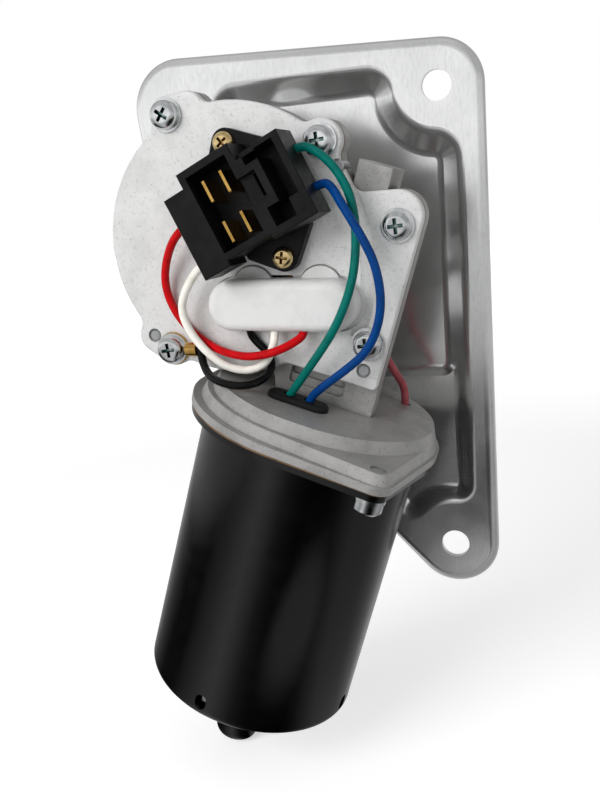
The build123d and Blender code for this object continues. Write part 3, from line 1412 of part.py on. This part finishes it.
RED_ROUTE = [
    (-7.7, -57, 6.3),
    (-12.7, -57, 4),
    (-17.2, -56, -1.6),
    (-20.8, -53.4, -9.6),
    (-20.4, -51.8, -16.9),
    (-16.7, -51.3, -23.7),
    (-10.7, -51.5, -28.9),
    (-3.4, -53.8, -31.8),
    (5.4, -57.4, -32.6),
    (13.4, -58.4, -31.1),
    (18.8, -56.2, -28.8),
    (21.4, -53.8, -26.6),
    (21.2, -53.4, -21.6),
]
WHITE_ROUTE = [
    (-3, -57, -4.1),
    (-7.6, -57, -6.3),
    (-13.1, -56.6, -13.1),
    (-15.3, -55.8, -18.8),
    (-13.5, -55, -25.4),
    (-8.7, -55, -31.4),
    (-3.8, -53.8, -35.9),
    (3.1, -53.4, -37.4),
    (9.1, -54.8, -34.9),
    (12, -55.2, -29.8),
    (12.3, -54, -26.6),
    (12.6, -53.4, -21.6),
]
BLACK_ROUTE = [
    (-15.4, -52.1, -30.7),
    (-11.8, -52.1, -30.8),
    (-11.4, -53.2, -34.4),
    (-7.5, -57.9, -37.8),
    (-0.9, -62.0, -39.3),
    (5, -61.8, -39.9),
    (8.5, -57.5, -39.3),
    (10.3, -52.6, -36.6),
    (8.7, -51.3, -32.2),
    (4.4, -51.4, -28.1),
    (4.3, -53, -24.8),
    (4.8, -53.4, -20.8),
]
GREEN_ROUTE = [
    (22.2, -57, 22.4),
    (25.4, -57, 23.8),
    (29.2, -57.3, 21.8),
    (32.3, -57.6, 19.2),
    (35.1, -57.8, 15.6),
    (37.3, -57.6, 11),
    (38.4, -57.2, 5.3),
    (38.4, -57.2, -1.7),
    (37.6, -58.2, -10),
    (35.2, -59.2, -17.7),
    (31, -59.4, -25.7),
    (24.9, -57.8, -33.3),
    (19.7, -55.2, -39.1),
    (14.7, -54.1, -45),
]
BLUE_ROUTE = [
    (26.9, -57, 12.2),
    (30.6, -57, 13.9),
    (33, -58.4, 12.5),
    (35.3, -60.2, 9.1),
    (38.2, -61.2, 4.3),
    (41.5, -61, -1.8),
    (44.1, -60.4, -8.5),
    (45.1, -60.2, -17.2),
    (43.6, -60, -24.9),
    (39.8, -59.6, -31.6),
    (33.5, -58.2, -36.4),
    (26.8, -56, -40.9),
    (21.4, -54.1, -44.9),
    (20.6, -54.1, -47.2),
]
REAR_ROUTE = [
    behind(*REAR_EXIT, CASE_BACK - LEAD_SINK + 0.1),
    behind(4.0, 14.0, -25.9),
    behind(7.0, 18.5, -22.6),
    behind(11.0, 24.5, -21.3),
    behind(16.5, 30.0, -21.2),
    behind(21.4, 34.0, -21.4),
    behind(REAR_ENTRY[0], PLATFORM_T + LEAD_SINK - 0.1, MOTOR_Y - REAR_ENTRY[1]),
]
lead(RED_ROUTE, "red_lead")
lead(WHITE_ROUTE, "white_lead")
lead(BLACK_ROUTE, "black_lead")
lead(GREEN_ROUTE, "green_lead")
lead(BLUE_ROUTE, "blue_lead")
lead(REAR_ROUTE, "rear_lead")
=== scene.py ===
import json
import math

import bpy
from mathutils import Matrix, Vector


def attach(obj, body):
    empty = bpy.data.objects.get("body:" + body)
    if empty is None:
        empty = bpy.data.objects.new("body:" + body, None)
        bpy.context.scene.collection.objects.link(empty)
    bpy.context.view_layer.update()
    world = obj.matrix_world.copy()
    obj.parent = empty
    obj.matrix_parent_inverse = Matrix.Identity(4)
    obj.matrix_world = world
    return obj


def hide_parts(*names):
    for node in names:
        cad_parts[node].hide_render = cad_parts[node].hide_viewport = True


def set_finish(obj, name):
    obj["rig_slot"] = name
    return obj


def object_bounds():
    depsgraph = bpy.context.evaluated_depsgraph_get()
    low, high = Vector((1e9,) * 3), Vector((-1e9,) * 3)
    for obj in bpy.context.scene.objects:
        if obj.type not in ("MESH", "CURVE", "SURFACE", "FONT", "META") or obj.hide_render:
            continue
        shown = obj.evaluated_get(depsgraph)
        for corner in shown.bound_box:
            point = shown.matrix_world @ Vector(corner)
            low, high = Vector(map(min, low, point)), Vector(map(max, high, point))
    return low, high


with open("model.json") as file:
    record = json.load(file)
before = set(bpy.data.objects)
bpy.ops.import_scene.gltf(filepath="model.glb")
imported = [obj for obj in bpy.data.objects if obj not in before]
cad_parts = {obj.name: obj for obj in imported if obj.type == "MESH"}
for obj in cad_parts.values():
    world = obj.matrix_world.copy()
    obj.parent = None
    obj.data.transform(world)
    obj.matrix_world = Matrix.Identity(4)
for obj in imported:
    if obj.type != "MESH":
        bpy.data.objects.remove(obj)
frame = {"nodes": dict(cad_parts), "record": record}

MM = 0.001
NODES = frame["nodes"]
scene = bpy.context.scene

low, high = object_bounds()

# ---------------------------------------------------------------- camera

# Its place in millimetres and its directions, in the CAD's frame
CAMERA_AT = (100.256, -289.886, 10.308)
CAMERA_RIGHT = (0.94715, 0.31123, -0.07775)
CAMERA_DOWN = (-0.00347, -0.23243, -0.97261)
CAMERA_FORWARD = (-0.32078, 0.92147, -0.21907)
LENS = 40.458
SENSOR = 36.0
NEAREST, FARTHEST = 0.01, 20.0  # metres

camera_data = bpy.data.cameras.new("camera")
camera_data.lens = LENS
camera_data.sensor_width = SENSOR
camera_data.clip_start = NEAREST
camera_data.clip_end = FARTHEST
camera = bpy.data.objects.new("camera", camera_data)
scene.collection.objects.link(camera)
rows = [Vector(CAMERA_RIGHT), -Vector(CAMERA_DOWN), -Vector(CAMERA_FORWARD)]
turn = Matrix(rows).transposed().to_4x4()
camera.matrix_world = Matrix.Translation(Vector(CAMERA_AT) * MM) @ turn
scene.camera = camera

# ---------------------------------------------------------------- leads

LEAD_DIAMETER = 2.4
LEAD_STEPS = 12  # for each run of the spline
LEAD_ROUNDNESS = 6

# Control points in millimetres. Each route starts where its lead leaves the connector or the tag,
# and the rear one where it leaves the casing.
RED_ROUTE = [
    (-7.7, -57, 6.3),
    (-12.7, -57, 4),
    (-17.2, -56, -1.6),
    (-20.8, -53.4, -9.6),
    (-20.4, -51.8, -16.9),
    (-16.7, -51.3, -23.7),
    (-10.7, -51.5, -28.9),
    (-3.4, -53.8, -31.8),
    (5.4, -57.4, -32.6),
    (13.4, -58.4, -31.1),
    (18.8, -56.2, -28.8),
    (21.4, -53.8, -26.6),
    (21.2, -53.4, -21.6),
]
WHITE_ROUTE = [
    (-3, -57, -4.1),
    (-7.6, -57, -6.3),
    (-13.1, -56.6, -13.1),
    (-15.3, -55.8, -18.8),
    (-13.5, -55, -25.4),
    (-8.7, -55, -31.4),
    (-3.8, -53.8, -35.9),
    (3.1, -53.4, -37.4),
    (9.1, -54.8, -34.9),
    (12, -55.2, -29.8),
    (12.3, -54, -26.6),
    (12.6, -53.4, -21.6),
]
BLACK_ROUTE = [
    (-15.4, -52.1, -30.7),
    (-11.8, -52.1, -30.8),
    (-11.4, -53.2, -34.4),
    (-7.5, -57.9, -37.8),
    (-0.9, -62.0, -39.3),
    (5, -61.8, -39.9),
    (8.5, -57.5, -39.3),
    (10.3, -52.6, -36.6),
    (8.7, -51.3, -32.2),
    (4.4, -51.4, -28.1),
    (4.3, -53, -24.8),
    (4.8, -53.4, -20.8),
]
GREEN_ROUTE = [
    (22.2, -57, 22.4),
    (25.4, -57, 23.8),
    (29.2, -57.3, 21.8),
    (32.3, -57.6, 19.2),
    (35.1, -57.8, 15.6),
    (37.3, -57.6, 11),
    (38.4, -57.2, 5.3),
    (38.4, -57.2, -1.7),
    (37.6, -58.2, -10),
    (35.2, -59.2, -17.7),
    (31, -59.4, -25.7),
    (24.9, -57.8, -33.3),
    (19.7, -55.2, -39.1),
    (14.7, -54.1, -45),
]
BLUE_ROUTE = [
    (26.9, -57, 12.2),
    (30.6, -57, 13.9),
    (33, -58.4, 12.5),
    (35.3, -60.2, 9.1),
    (38.2, -61.2, 4.3),
    (41.5, -61, -1.8),
    (44.1, -60.4, -8.5),
    (45.1, -60.2, -17.2),
    (43.6, -60, -24.9),
    (39.8, -59.6, -31.6),
    (33.5, -58.2, -36.4),
    (26.8, -56, -40.9),
    (21.4, -54.1, -44.9),
    (20.6, -54.1, -47.2),
]
REAR_ROUTE = [
    (31.9, -31.5, -25.7),
    (31.9, -25.9, -25.7),
    (33.3, -22.6, -30.9),
    (35.2, -21.3, -37.9),
    (38.6, -21.2, -44.8),
    (42, -21.4, -50.2),
    (41.1, -21.5, -56.2),
]


def lead(name, node, slot, route):
    """A free lead on a smooth line along its route, in place of its CAD solid."""
    curve = bpy.data.curves.new(name, "CURVE")
    curve.dimensions = "3D"
    spline = curve.splines.new("NURBS")
    spline.points.add(len(route) - 1)
    for point, place in zip(spline.points, route):
        point.co = (place[0] * MM, place[1] * MM, place[2] * MM, 1.0)
        point.radius = LEAD_DIAMETER / 2 * MM  # the object's bounds count this, not the bevel
    spline.order_u = 3
    spline.use_endpoint_u = True
    spline.resolution_u = LEAD_STEPS
    curve.resolution_u = LEAD_STEPS
    curve.bevel_depth = 1.0
    curve.bevel_resolution = LEAD_ROUNDNESS
    curve.use_fill_caps = True
    piece = bpy.data.objects.new(name, curve)
    scene.collection.objects.link(piece)
    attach(piece, "housing")
    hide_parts(node)
    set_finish(piece, slot)
    return piece


LEADS = [
    lead("red_cord", "red_lead", "red_wire", RED_ROUTE),
    lead("white_cord", "white_lead", "white_wire", WHITE_ROUTE),
    lead("black_cord", "black_lead", "black_wire", BLACK_ROUTE),
    lead("green_cord", "green_lead", "green_wire", GREEN_ROUTE),
    lead("blue_cord", "blue_lead", "blue_wire", BLUE_ROUTE),
    lead("rear_cord", "rear_lead", "pink_wire", REAR_ROUTE),
]

# ---------------------------------------------------------------- shader nodes

# A Mix node's colour sockets, which share their names with its sockets for numbers
MIX_BASE, MIX_OVER, MIX_RESULT = 6, 7, 2


def new_node(tree, kind, **settings):
    node = tree.nodes.new(kind)
    for key, value in settings.items():
        setattr(node, key, value)
    return node


def feed(tree, value, socket):
    """Links another node's output to a socket, or sets the socket to a plain value."""
    if isinstance(value, bpy.types.NodeSocket):
        tree.links.new(value, socket)
    else:
        socket.default_value = value


def maths(tree, operation, first, second):
    """The output of a math node on two sockets or numbers."""
    node = new_node(tree, "ShaderNodeMath", operation=operation)
    for value, socket in zip((first, second), node.inputs):
        feed(tree, value, socket)
    return node.outputs[0]


def climb(tree, value, start, end, first=0.0, last=1.0, form="SMOOTHSTEP"):
    """Goes from first to last as value goes from start to end."""
    node = new_node(tree, "ShaderNodeMapRange", interpolation_type=form)
    names = ("From Min", "From Max", "To Min", "To Max")
    for name, setting in zip(names, (start, end, first, last)):
        node.inputs[name].default_value = setting
    tree.links.new(value, node.inputs["Value"])
    return node.outputs["Result"]


def grey_scale(tree, value, levels):
    """A grey for each value from 0 to 1, between those of the (value, grey) levels."""
    node = new_node(tree, "ShaderNodeValToRGB")
    stops = node.color_ramp.elements
    while len(stops) < len(levels):
        stops.new(0.5)
    for stop, (position, level) in zip(stops, levels):
        stop.position = position
        stop.color = (level, level, level, 1.0)
    tree.links.new(value, node.inputs["Fac"])
    return node.outputs["Color"]


def distance(tree, place, centre=(0.0, 0.0, 0.0)):
    node = new_node(tree, "ShaderNodeVectorMath", operation="DISTANCE")
    tree.links.new(place, node.inputs[0])
    node.inputs[1].default_value = centre
    return node.outputs["Value"]


# ---------------------------------------------------------------- materials

NOISE_SPAN = (0.25, 0.75)  # most of a noise lies in it
CLOUD_SPAN = (0.4, 0.7)  # the second colour sets in over it
RECESS_SPAN = (0.35, 0.85)  # how open a deep recess is, and an open face
RECESS_SAMPLES = 8
EDGE_SAMPLES = 4


class Look:
    """A principled material whose colour, roughness and relief come from noise on the part.

    Its sizes, reaches, radii and depths are in millimetres.
    """

    def __init__(self, name, colour, metallic, roughness, **sockets):
        self.name = name
        self.material = bpy.data.materials.new(name)
        self.material.use_nodes = True
        self.tree = self.material.node_tree
        self.shader = self.tree.nodes["Principled BSDF"]
        self.place = self.add("ShaderNodeTexCoord").outputs["Object"]
        self.colour = (*colour, 1.0)
        self.roughness = roughness
        self.normal = None
        sockets.update(Base_Color=self.colour, Metallic=metallic, Roughness=roughness)
        for socket, value in sockets.items():
            self.shader.inputs[socket.replace("_", " ")].default_value = value

    def add(self, kind, **settings):
        return new_node(self.tree, kind, **settings)

    def join(self, source, target):
        self.tree.links.new(source, target)

    def noise(self, size, detail=3.0, rough=0.55, stretch=None):
        """Noise whose lumps are about size across."""
        place = self.place
        if stretch is not None:
            mapping = self.add("ShaderNodeMapping")
            mapping.inputs["Scale"].default_value = stretch
            self.join(place, mapping.inputs["Vector"])
            place = mapping.outputs["Vector"]
        node = self.add("ShaderNodeTexNoise")
        node.inputs["Scale"].default_value = 1.0 / (size * MM)
        node.inputs["Detail"].default_value = detail
        node.inputs["Roughness"].default_value = rough
        self.join(place, node.inputs["Vector"])
        return node.outputs["Fac"]

    def recesses(self, reach):
        """1 deep in recesses and inner corners no wider than reach, 0 on open faces."""
        node = self.add("ShaderNodeAmbientOcclusion", samples=RECESS_SAMPLES, only_local=True)
        node.inputs["Distance"].default_value = reach * MM
        return climb(self.tree, node.outputs["AO"], *RECESS_SPAN, 1.0, 0.0)

    def paint(self, value, colour, span=None, share=1.0):
        """Lays another colour over the last in proportion to value.

        With a span, its part goes from none to share as value climbs through the span.
        """
        if span is not None:
            value = climb(self.tree, value, *span, 0.0, share)
        mix = self.add("ShaderNodeMix", data_type="RGBA")
        self.join(value, mix.inputs["Factor"])
        feed(self.tree, self.colour, mix.inputs[MIX_BASE])
        mix.inputs[MIX_OVER].default_value = (*colour, 1.0)
        self.colour = mix.outputs[MIX_RESULT]
        self.join(self.colour, self.shader.inputs["Base Color"])

    def wear(self, value, down, up):
        """Varies the roughness with value, from down below the look's own to up above it."""
        rough = climb(self.tree, value, *NOISE_SPAN, self.roughness - down, self.roughness + up)
        self.join(rough, self.shader.inputs["Roughness"])

    def bump(self, value, depth):
        node = self.add("ShaderNodeBump")
        node.inputs["Strength"].default_value = 1.0
        node.inputs["Distance"].default_value = depth * MM
        self.join(value, node.inputs["Height"])
        if self.normal is not None:
            self.join(self.normal, node.inputs["Normal"])
        self.face(node.outputs["Normal"])

    def soften(self, radius):
        """Rounds sharp edges in the shading only."""
        node = self.add("ShaderNodeBevel", samples=EDGE_SAMPLES)
        node.inputs["Radius"].default_value = radius * MM
        self.face(node.outputs["Normal"])

    def face(self, normal):
        """Takes a normal for the shader, and for the next bump to start from."""
        self.normal = normal
        self.join(normal, self.shader.inputs["Normal"])


def dimmed(colour, share):
    return tuple(c * share for c in colour)


def casting(name, colour, shade, spots, metallic, roughness):
    """Raw cast metal: clouds, grain, pits, and painted shade in its inner corners."""
    look = Look(name, colour, metallic, roughness)
    look.soften(radius=0.35)
    look.paint(look.noise(size=9.0, detail=4.0), shade, span=(0.42, 0.68))
    look.paint(look.noise(size=0.8, rough=0.6), spots, span=(0.54, 0.74), share=0.6)
    pits = look.noise(size=0.5, detail=0.0, rough=0.5)
    look.paint(pits, dimmed(spots, 0.3), span=(0.79, 0.82), share=0.75)
    # Painted shade: deep inner corners and creases darkened by occlusion
    look.paint(look.recesses(reach=2.5), dimmed(shade, 0.4), span=(0.0, 1.0), share=0.7)
    look.wear(look.noise(size=3.0), down=0.07, up=0.1)
    look.bump(look.noise(size=0.9, rough=0.6), depth=0.08)
    look.bump(look.noise(size=4.0, detail=2.0), depth=0.12)
    return look


def plated(name, colour, shade, roughness, spread, grain, recess_tint_and_shade=None, streaks=0.0, metallic=1.0):
    """Smooth metal with clouds grain across, and where asked upright streaks and a recess colour
    that paints shade into deep recesses.
    """
    look = Look(name, colour, metallic, roughness)
    look.paint(look.noise(size=grain, detail=1.0), shade, span=(0.4, 0.72))
    if streaks:
        drawn = look.noise(size=0.45, detail=2.0, rough=0.6, stretch=(1.0, 1.0, 0.2))
        look.paint(drawn, dimmed(shade, 0.8), span=(0.42, 0.7), share=streaks)
    # Painted shade: deep recesses take the darker recess colour
    if recess_tint_and_shade is not None:
        look.paint(look.recesses(reach=1.6), recess_tint_and_shade)
    look.wear(look.noise(size=6.0, detail=0.0), down=spread, up=spread)
    look.bump(look.noise(size=20.0, detail=0.0), depth=0.05)
    return look


def plastic(name, colour, shade, roughness, relief=0.015, **sockets):
    """Moulded plastic or rubber with a fine grain."""
    look = Look(name, colour, metallic=0.0, roughness=roughness, **sockets)
    look.soften(radius=0.15)
    look.paint(look.noise(size=5.0), shade, span=CLOUD_SPAN)
    look.wear(look.noise(size=1.6, detail=4.0), down=0.06, up=0.08)
    look.bump(look.noise(size=0.3, detail=2.0), depth=relief)
    return look


def enamel(name, colour, shade, roughness):
    """Gloss paint with a faint orange peel."""
    look = Look(name, colour, metallic=0.0, roughness=roughness, Specular_IOR_Level=0.45)
    look.paint(look.noise(size=7.0), shade, span=CLOUD_SPAN)
    look.wear(look.noise(size=5.0, detail=2.0), down=0.03, up=0.04)
    look.bump(look.noise(size=1.5, detail=1.0), depth=0.004)
    return look


def insulation(name, colour, shade):
    """The smooth plastic over a lead."""
    look = Look(name, colour, metallic=0.0, roughness=0.2, Specular_IOR_Level=0.16)
    look.paint(look.noise(size=3.0, detail=1.0), shade, span=CLOUD_SPAN)
    look.wear(look.noise(size=1.5, detail=1.0), down=0.05, up=0.06)
    look.bump(look.noise(size=1.2, detail=1.0), depth=0.02)
    return look


# Each look's slot in the record, its colour, and the shade that clouds it
LOOKS = [
    plated("zinc_bracket", (0.87, 0.873, 0.876), (0.80, 0.803, 0.807), roughness=0.2, spread=0.02,
           grain=22.0, streaks=0.28, metallic=0.94),
    casting("cast_aluminium", (0.44, 0.435, 0.425), (0.36, 0.355, 0.345), spots=(0.26, 0.255, 0.25),
            metallic=0.55, roughness=0.4),
    casting("cast_cover", (0.76, 0.76, 0.755), (0.69, 0.69, 0.685), spots=(0.48, 0.48, 0.47),
            metallic=0.35, roughness=0.5),
    enamel("black_can", (0.0012, 0.0012, 0.0013), (0.002, 0.002, 0.0021), roughness=0.16),
    plastic("nylon_white", (0.68, 0.68, 0.67), (0.63, 0.63, 0.62), roughness=0.33,
            Subsurface_Weight=0.35, Subsurface_Radius=(0.003, 0.0028, 0.0024), Subsurface_Scale=1.0),
    plastic("connector_black", (0.004, 0.004, 0.0043), (0.007, 0.007, 0.0075), roughness=0.38,
            Specular_IOR_Level=0.2),
    plated("brass", (0.62, 0.38, 0.11), (0.5, 0.29, 0.07), roughness=0.2, spread=0.05, grain=3.0),
    # Zinc screws: dark teal in the cross recesses, the chromate's green tint with painted shade
    plated("zinc_screw", (0.74, 0.75, 0.76), (0.60, 0.63, 0.63), roughness=0.2, spread=0.06,
           grain=2.0, recess_tint_and_shade=(0.09, 0.17, 0.16)),
    # Brass screws: dark brown in the cross recesses, a painted shade
    plated("brass_screw", (0.80, 0.62, 0.32), (0.62, 0.42, 0.18), roughness=0.24, spread=0.06,
           grain=1.2, recess_tint_and_shade=(0.26, 0.15, 0.05)),
    plated("steel", (0.60, 0.61, 0.62), (0.48, 0.49, 0.50), roughness=0.3, spread=0.08, grain=4.0),
    plastic("gasket_brown", (0.16, 0.095, 0.045), (0.09, 0.055, 0.03), roughness=0.8, relief=0.05),
    plastic("rubber_black", (0.004, 0.004, 0.004), (0.008, 0.008, 0.008), roughness=0.45,
            relief=0.02, Specular_IOR_Level=0.25),
    insulation("red_wire", (0.52, 0.002, 0.005), (0.42, 0.0015, 0.004)),
    # The rear lead: a red lead's colour dulled toward pink for its look in the shade behind the
    # casing, a painted shade
    insulation("pink_wire", (0.42, 0.09, 0.11), (0.34, 0.07, 0.085)),
    insulation("white_wire", (0.84, 0.82, 0.76), (0.78, 0.75, 0.67)),
    insulation("black_wire", (0.003, 0.003, 0.003), (0.005, 0.005, 0.005)),
    insulation("green_wire", (0.0, 0.135, 0.112), (0.0, 0.11, 0.092)),
    insulation("blue_wire", (0.0, 0.042, 0.19), (0.0, 0.034, 0.155)),
    plastic("acetal_gear", (0.78, 0.75, 0.66), (0.72, 0.69, 0.6), roughness=0.4),
    plated("bronze", (0.62, 0.42, 0.2), (0.5, 0.33, 0.15), roughness=0.4, spread=0.08, grain=2.0),
    plated("copper", (0.76, 0.38, 0.2), (0.6, 0.28, 0.14), roughness=0.32, spread=0.08, grain=2.0),
    plastic("ferrite", (0.07, 0.07, 0.075), (0.05, 0.05, 0.052), roughness=0.6, relief=0.03),
    plated("laminations", (0.3, 0.3, 0.31), (0.22, 0.22, 0.23), roughness=0.45, spread=0.08,
           grain=3.0),
    plastic("carbon", (0.05, 0.05, 0.05), (0.035, 0.035, 0.035), roughness=0.5, relief=0.02),
    plastic("phenolic", (0.2, 0.11, 0.05), (0.15, 0.08, 0.035), roughness=0.5, relief=0.03),
]
MATERIALS = {look.name: look.material for look in LOOKS}

for part in frame["record"]["subparts"]:
    node = NODES[part["node"]]
    for slot in node.material_slots:
        slot.material = MATERIALS[part["material_slot"]]

for piece in LEADS:
    piece.data.materials.append(MATERIALS[piece["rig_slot"]])

# ---------------------------------------------------------------- floor

FLOOR_Z = low[2] - 0.0004
FLOOR_SIZE = 6.0
FLOOR_GREY = 0.7
# The floor's glow, to the camera and to reflections, goes from the first level to the last over
# these distances in metres from its middle
FLOOR_GLOW = (0.535, 0.98)
FLOOR_GLOW_SPAN = (0.35, 1.1)


def bare_material(name):
    """A new material, its empty tree, and the socket that takes its surface."""
    material = bpy.data.materials.new(name)
    material.use_nodes = True
    tree = material.node_tree
    tree.nodes.clear()
    return material, tree, new_node(tree, "ShaderNodeOutputMaterial").inputs["Surface"]


def stage_piece(name, corners, faces, place, material):
    mesh = bpy.data.meshes.new(name)
    mesh.from_pydata(corners, [], faces)
    mesh.materials.append(material)
    piece = bpy.data.objects.new(name, mesh)
    scene.collection.objects.link(piece)
    piece.location = place
    return piece


def paper():
    """Matt paper that keeps the part's shadow, and goes to white away from it."""
    material, tree, surface = bare_material("paper")
    matt = new_node(tree, "ShaderNodeBsdfDiffuse")
    matt.inputs["Color"].default_value = (FLOOR_GREY, FLOOR_GREY, FLOOR_GREY, 1.0)
    place = new_node(tree, "ShaderNodeTexCoord").outputs["Object"]
    level = climb(tree, distance(tree, place), *FLOOR_GLOW_SPAN, *FLOOR_GLOW, form="LINEAR")
    path = new_node(tree, "ShaderNodeLightPath").outputs
    mirrored = maths(tree, "MAXIMUM", path["Is Glossy Ray"], path["Is Transmission Ray"])
    seen = maths(tree, "MAXIMUM", path["Is Camera Ray"], mirrored)
    glow = new_node(tree, "ShaderNodeEmission")
    tree.links.new(maths(tree, "MULTIPLY", seen, level), glow.inputs["Strength"])
    both = new_node(tree, "ShaderNodeAddShader")
    tree.links.new(matt.outputs[0], both.inputs[0])
    tree.links.new(glow.outputs[0], both.inputs[1])
    tree.links.new(both.outputs[0], surface)
    return material


half = FLOOR_SIZE / 2
stage_piece("floor", [(-half, -half, 0), (half, -half, 0), (half, half, 0), (-half, half, 0)],
            [(0, 1, 2, 3)], (0.0, 0.0, FLOOR_Z), paper())

# ---------------------------------------------------------------- sky and lamps

# Sine of the height above the horizon, and what reflections see of the sky there
SKY_LEVELS = [(0.0, 1.0), (0.1, 1.0), (0.18, 0.9), (0.32, 0.62), (0.6, 0.5), (1.0, 0.55)]
# The share that is left of it on the right and behind, and the sines between which it falls
SKY_RIGHT, SKY_RIGHT_SPAN = 0.65, (0.1, 0.75)
SKY_BACK, SKY_BACK_SPAN = 0.55, (0.0, 0.7)
SKY_LIGHT = 0.40  # the level at which it lights the part

LAMP_AIM = (0.0, -0.03, -0.05)


def sky():
    """White to the camera, graded to reflections, and an even light on everything else."""
    world = bpy.data.worlds.new("studio")
    world.use_nodes = True
    tree = world.node_tree
    background = tree.nodes["Background"]
    background.inputs["Color"].default_value = (1.0, 1.0, 1.0, 1.0)
    ways = new_node(tree, "ShaderNodeSeparateXYZ")
    tree.links.new(new_node(tree, "ShaderNodeTexCoord").outputs["Generated"], ways.inputs[0])
    height = grey_scale(tree, ways.outputs["Z"], SKY_LEVELS)
    right = climb(tree, ways.outputs["X"], *SKY_RIGHT_SPAN, 1.0, SKY_RIGHT)
    back = climb(tree, ways.outputs["Y"], *SKY_BACK_SPAN, 1.0, SKY_BACK)
    graded = maths(tree, "MULTIPLY", height, maths(tree, "MULTIPLY", right, back))
    path = new_node(tree, "ShaderNodeLightPath").outputs
    direct = maths(tree, "MAXIMUM", path["Is Camera Ray"], path["Is Transmission Ray"])
    mirrored = maths(tree, "MULTIPLY", path["Is Glossy Ray"], graded)
    shown = maths(tree, "MAXIMUM", direct, mirrored)
    tree.links.new(maths(tree, "MAXIMUM", shown, SKY_LIGHT), background.inputs["Strength"])
    return world


def lamp(name, place, size, power):
    """A soft box that reflections don't show."""
    data = bpy.data.lights.new(name, "AREA")
    data.shape = "RECTANGLE"
    data.size, data.size_y = size
    data.energy = power
    piece = bpy.data.objects.new(name, data)
    scene.collection.objects.link(piece)
    piece.location = place
    piece.rotation_mode = "QUATERNION"
    piece.rotation_quaternion = (Vector(LAMP_AIM) - Vector(place)).to_track_quat("-Z", "Y")
    piece.visible_glossy = False


scene.world = sky()
lamp("key_box", place=(-0.45, -0.95, 0.42), size=(0.65, 0.65), power=10.6)
lamp("right_box", place=(0.85, -0.35, 0.25), size=(0.25, 0.8), power=1.0)

# ---------------------------------------------------------------- reflection card

CARD_CENTRE = (-0.015, -0.04)
CARD_LIFT = 0.0002  # above the floor
CARD_REACH = 1.1
CARD_TOP = 0.0
CARD_STEPS = 48
# Azimuth in degrees from the front, to the right, and the light that the card sends from there
CARD_LEVELS = [(-180, 0.5), (-135, 0.45), (-110, 0.16), (-88, 0.02), (-66, 0.02), (-45, 0.28),
               (-31, 0.55), (-21, 0.70), (-10, 0.45), (1, 0.14), (12, 0.04), (24, 0.0), (44, 0.0),
               (54, 0.06), (64, 0.22), (74, 0.34), (100, 0.26), (120, 0.34), (138, 0.55), (180, 0.5)]
# It sends at least this from far out, rising over these distances from its centre
CARD_FAR, CARD_FAR_SPAN = 0.5, (0.42, 0.75)
# A lighter spot in front of the foot: its place from the card's centre, its level and its fade
CARD_SPOT_AT = (0.070, -0.082, 0.0)
CARD_SPOT, CARD_SPOT_SPAN = 0.38, (0.022, 0.052)


def cloth():
    """The card's glow, by azimuth and by distance."""
    material, tree, surface = bare_material("card")
    place = new_node(tree, "ShaderNodeTexCoord").outputs["Object"]
    parts = new_node(tree, "ShaderNodeSeparateXYZ")
    tree.links.new(place, parts.inputs[0])
    ahead = maths(tree, "MULTIPLY", parts.outputs["Y"], -1.0)
    azimuth = maths(tree, "ARCTAN2", parts.outputs["X"], ahead)
    turns = maths(tree, "ADD", maths(tree, "DIVIDE", azimuth, 2 * math.pi), 0.5)
    around = grey_scale(tree, turns, [(angle / 360 + 0.5, level) for angle, level in CARD_LEVELS])
    far = climb(tree, distance(tree, place), *CARD_FAR_SPAN, 0.0, CARD_FAR)
    spot = climb(tree, distance(tree, place, CARD_SPOT_AT), *CARD_SPOT_SPAN, CARD_SPOT, 0.0)
    glow = new_node(tree, "ShaderNodeEmission")
    total = maths(tree, "MAXIMUM", maths(tree, "MAXIMUM", around, far), spot)
    tree.links.new(total, glow.inputs["Strength"])
    tree.links.new(glow.outputs[0], surface)
    return material


def reflection_card():
    """A graded card that only reflections show: it lies on the floor and turns up at its edge."""
    corners, faces = [(0.0, 0.0, 0.0)], []
    for step in range(CARD_STEPS):
        angle = 2 * math.pi * step / CARD_STEPS
        x, y = CARD_REACH * math.sin(angle), -CARD_REACH * math.cos(angle)
        corners += [(x, y, 0.0), (x, y, CARD_TOP - FLOOR_Z)]
        near, far = 1 + 2 * step, 1 + 2 * ((step + 1) % CARD_STEPS)
        faces += [(0, near, far), (near, near + 1, far + 1, far)]
    card = stage_piece("card", corners, faces, (*CARD_CENTRE, FLOOR_Z + CARD_LIFT), cloth())
    card.visible_camera = False
    card.visible_diffuse = False
    card.visible_shadow = False
    card.visible_transmission = False


reflection_card()

scene.view_settings.view_transform = "Standard"
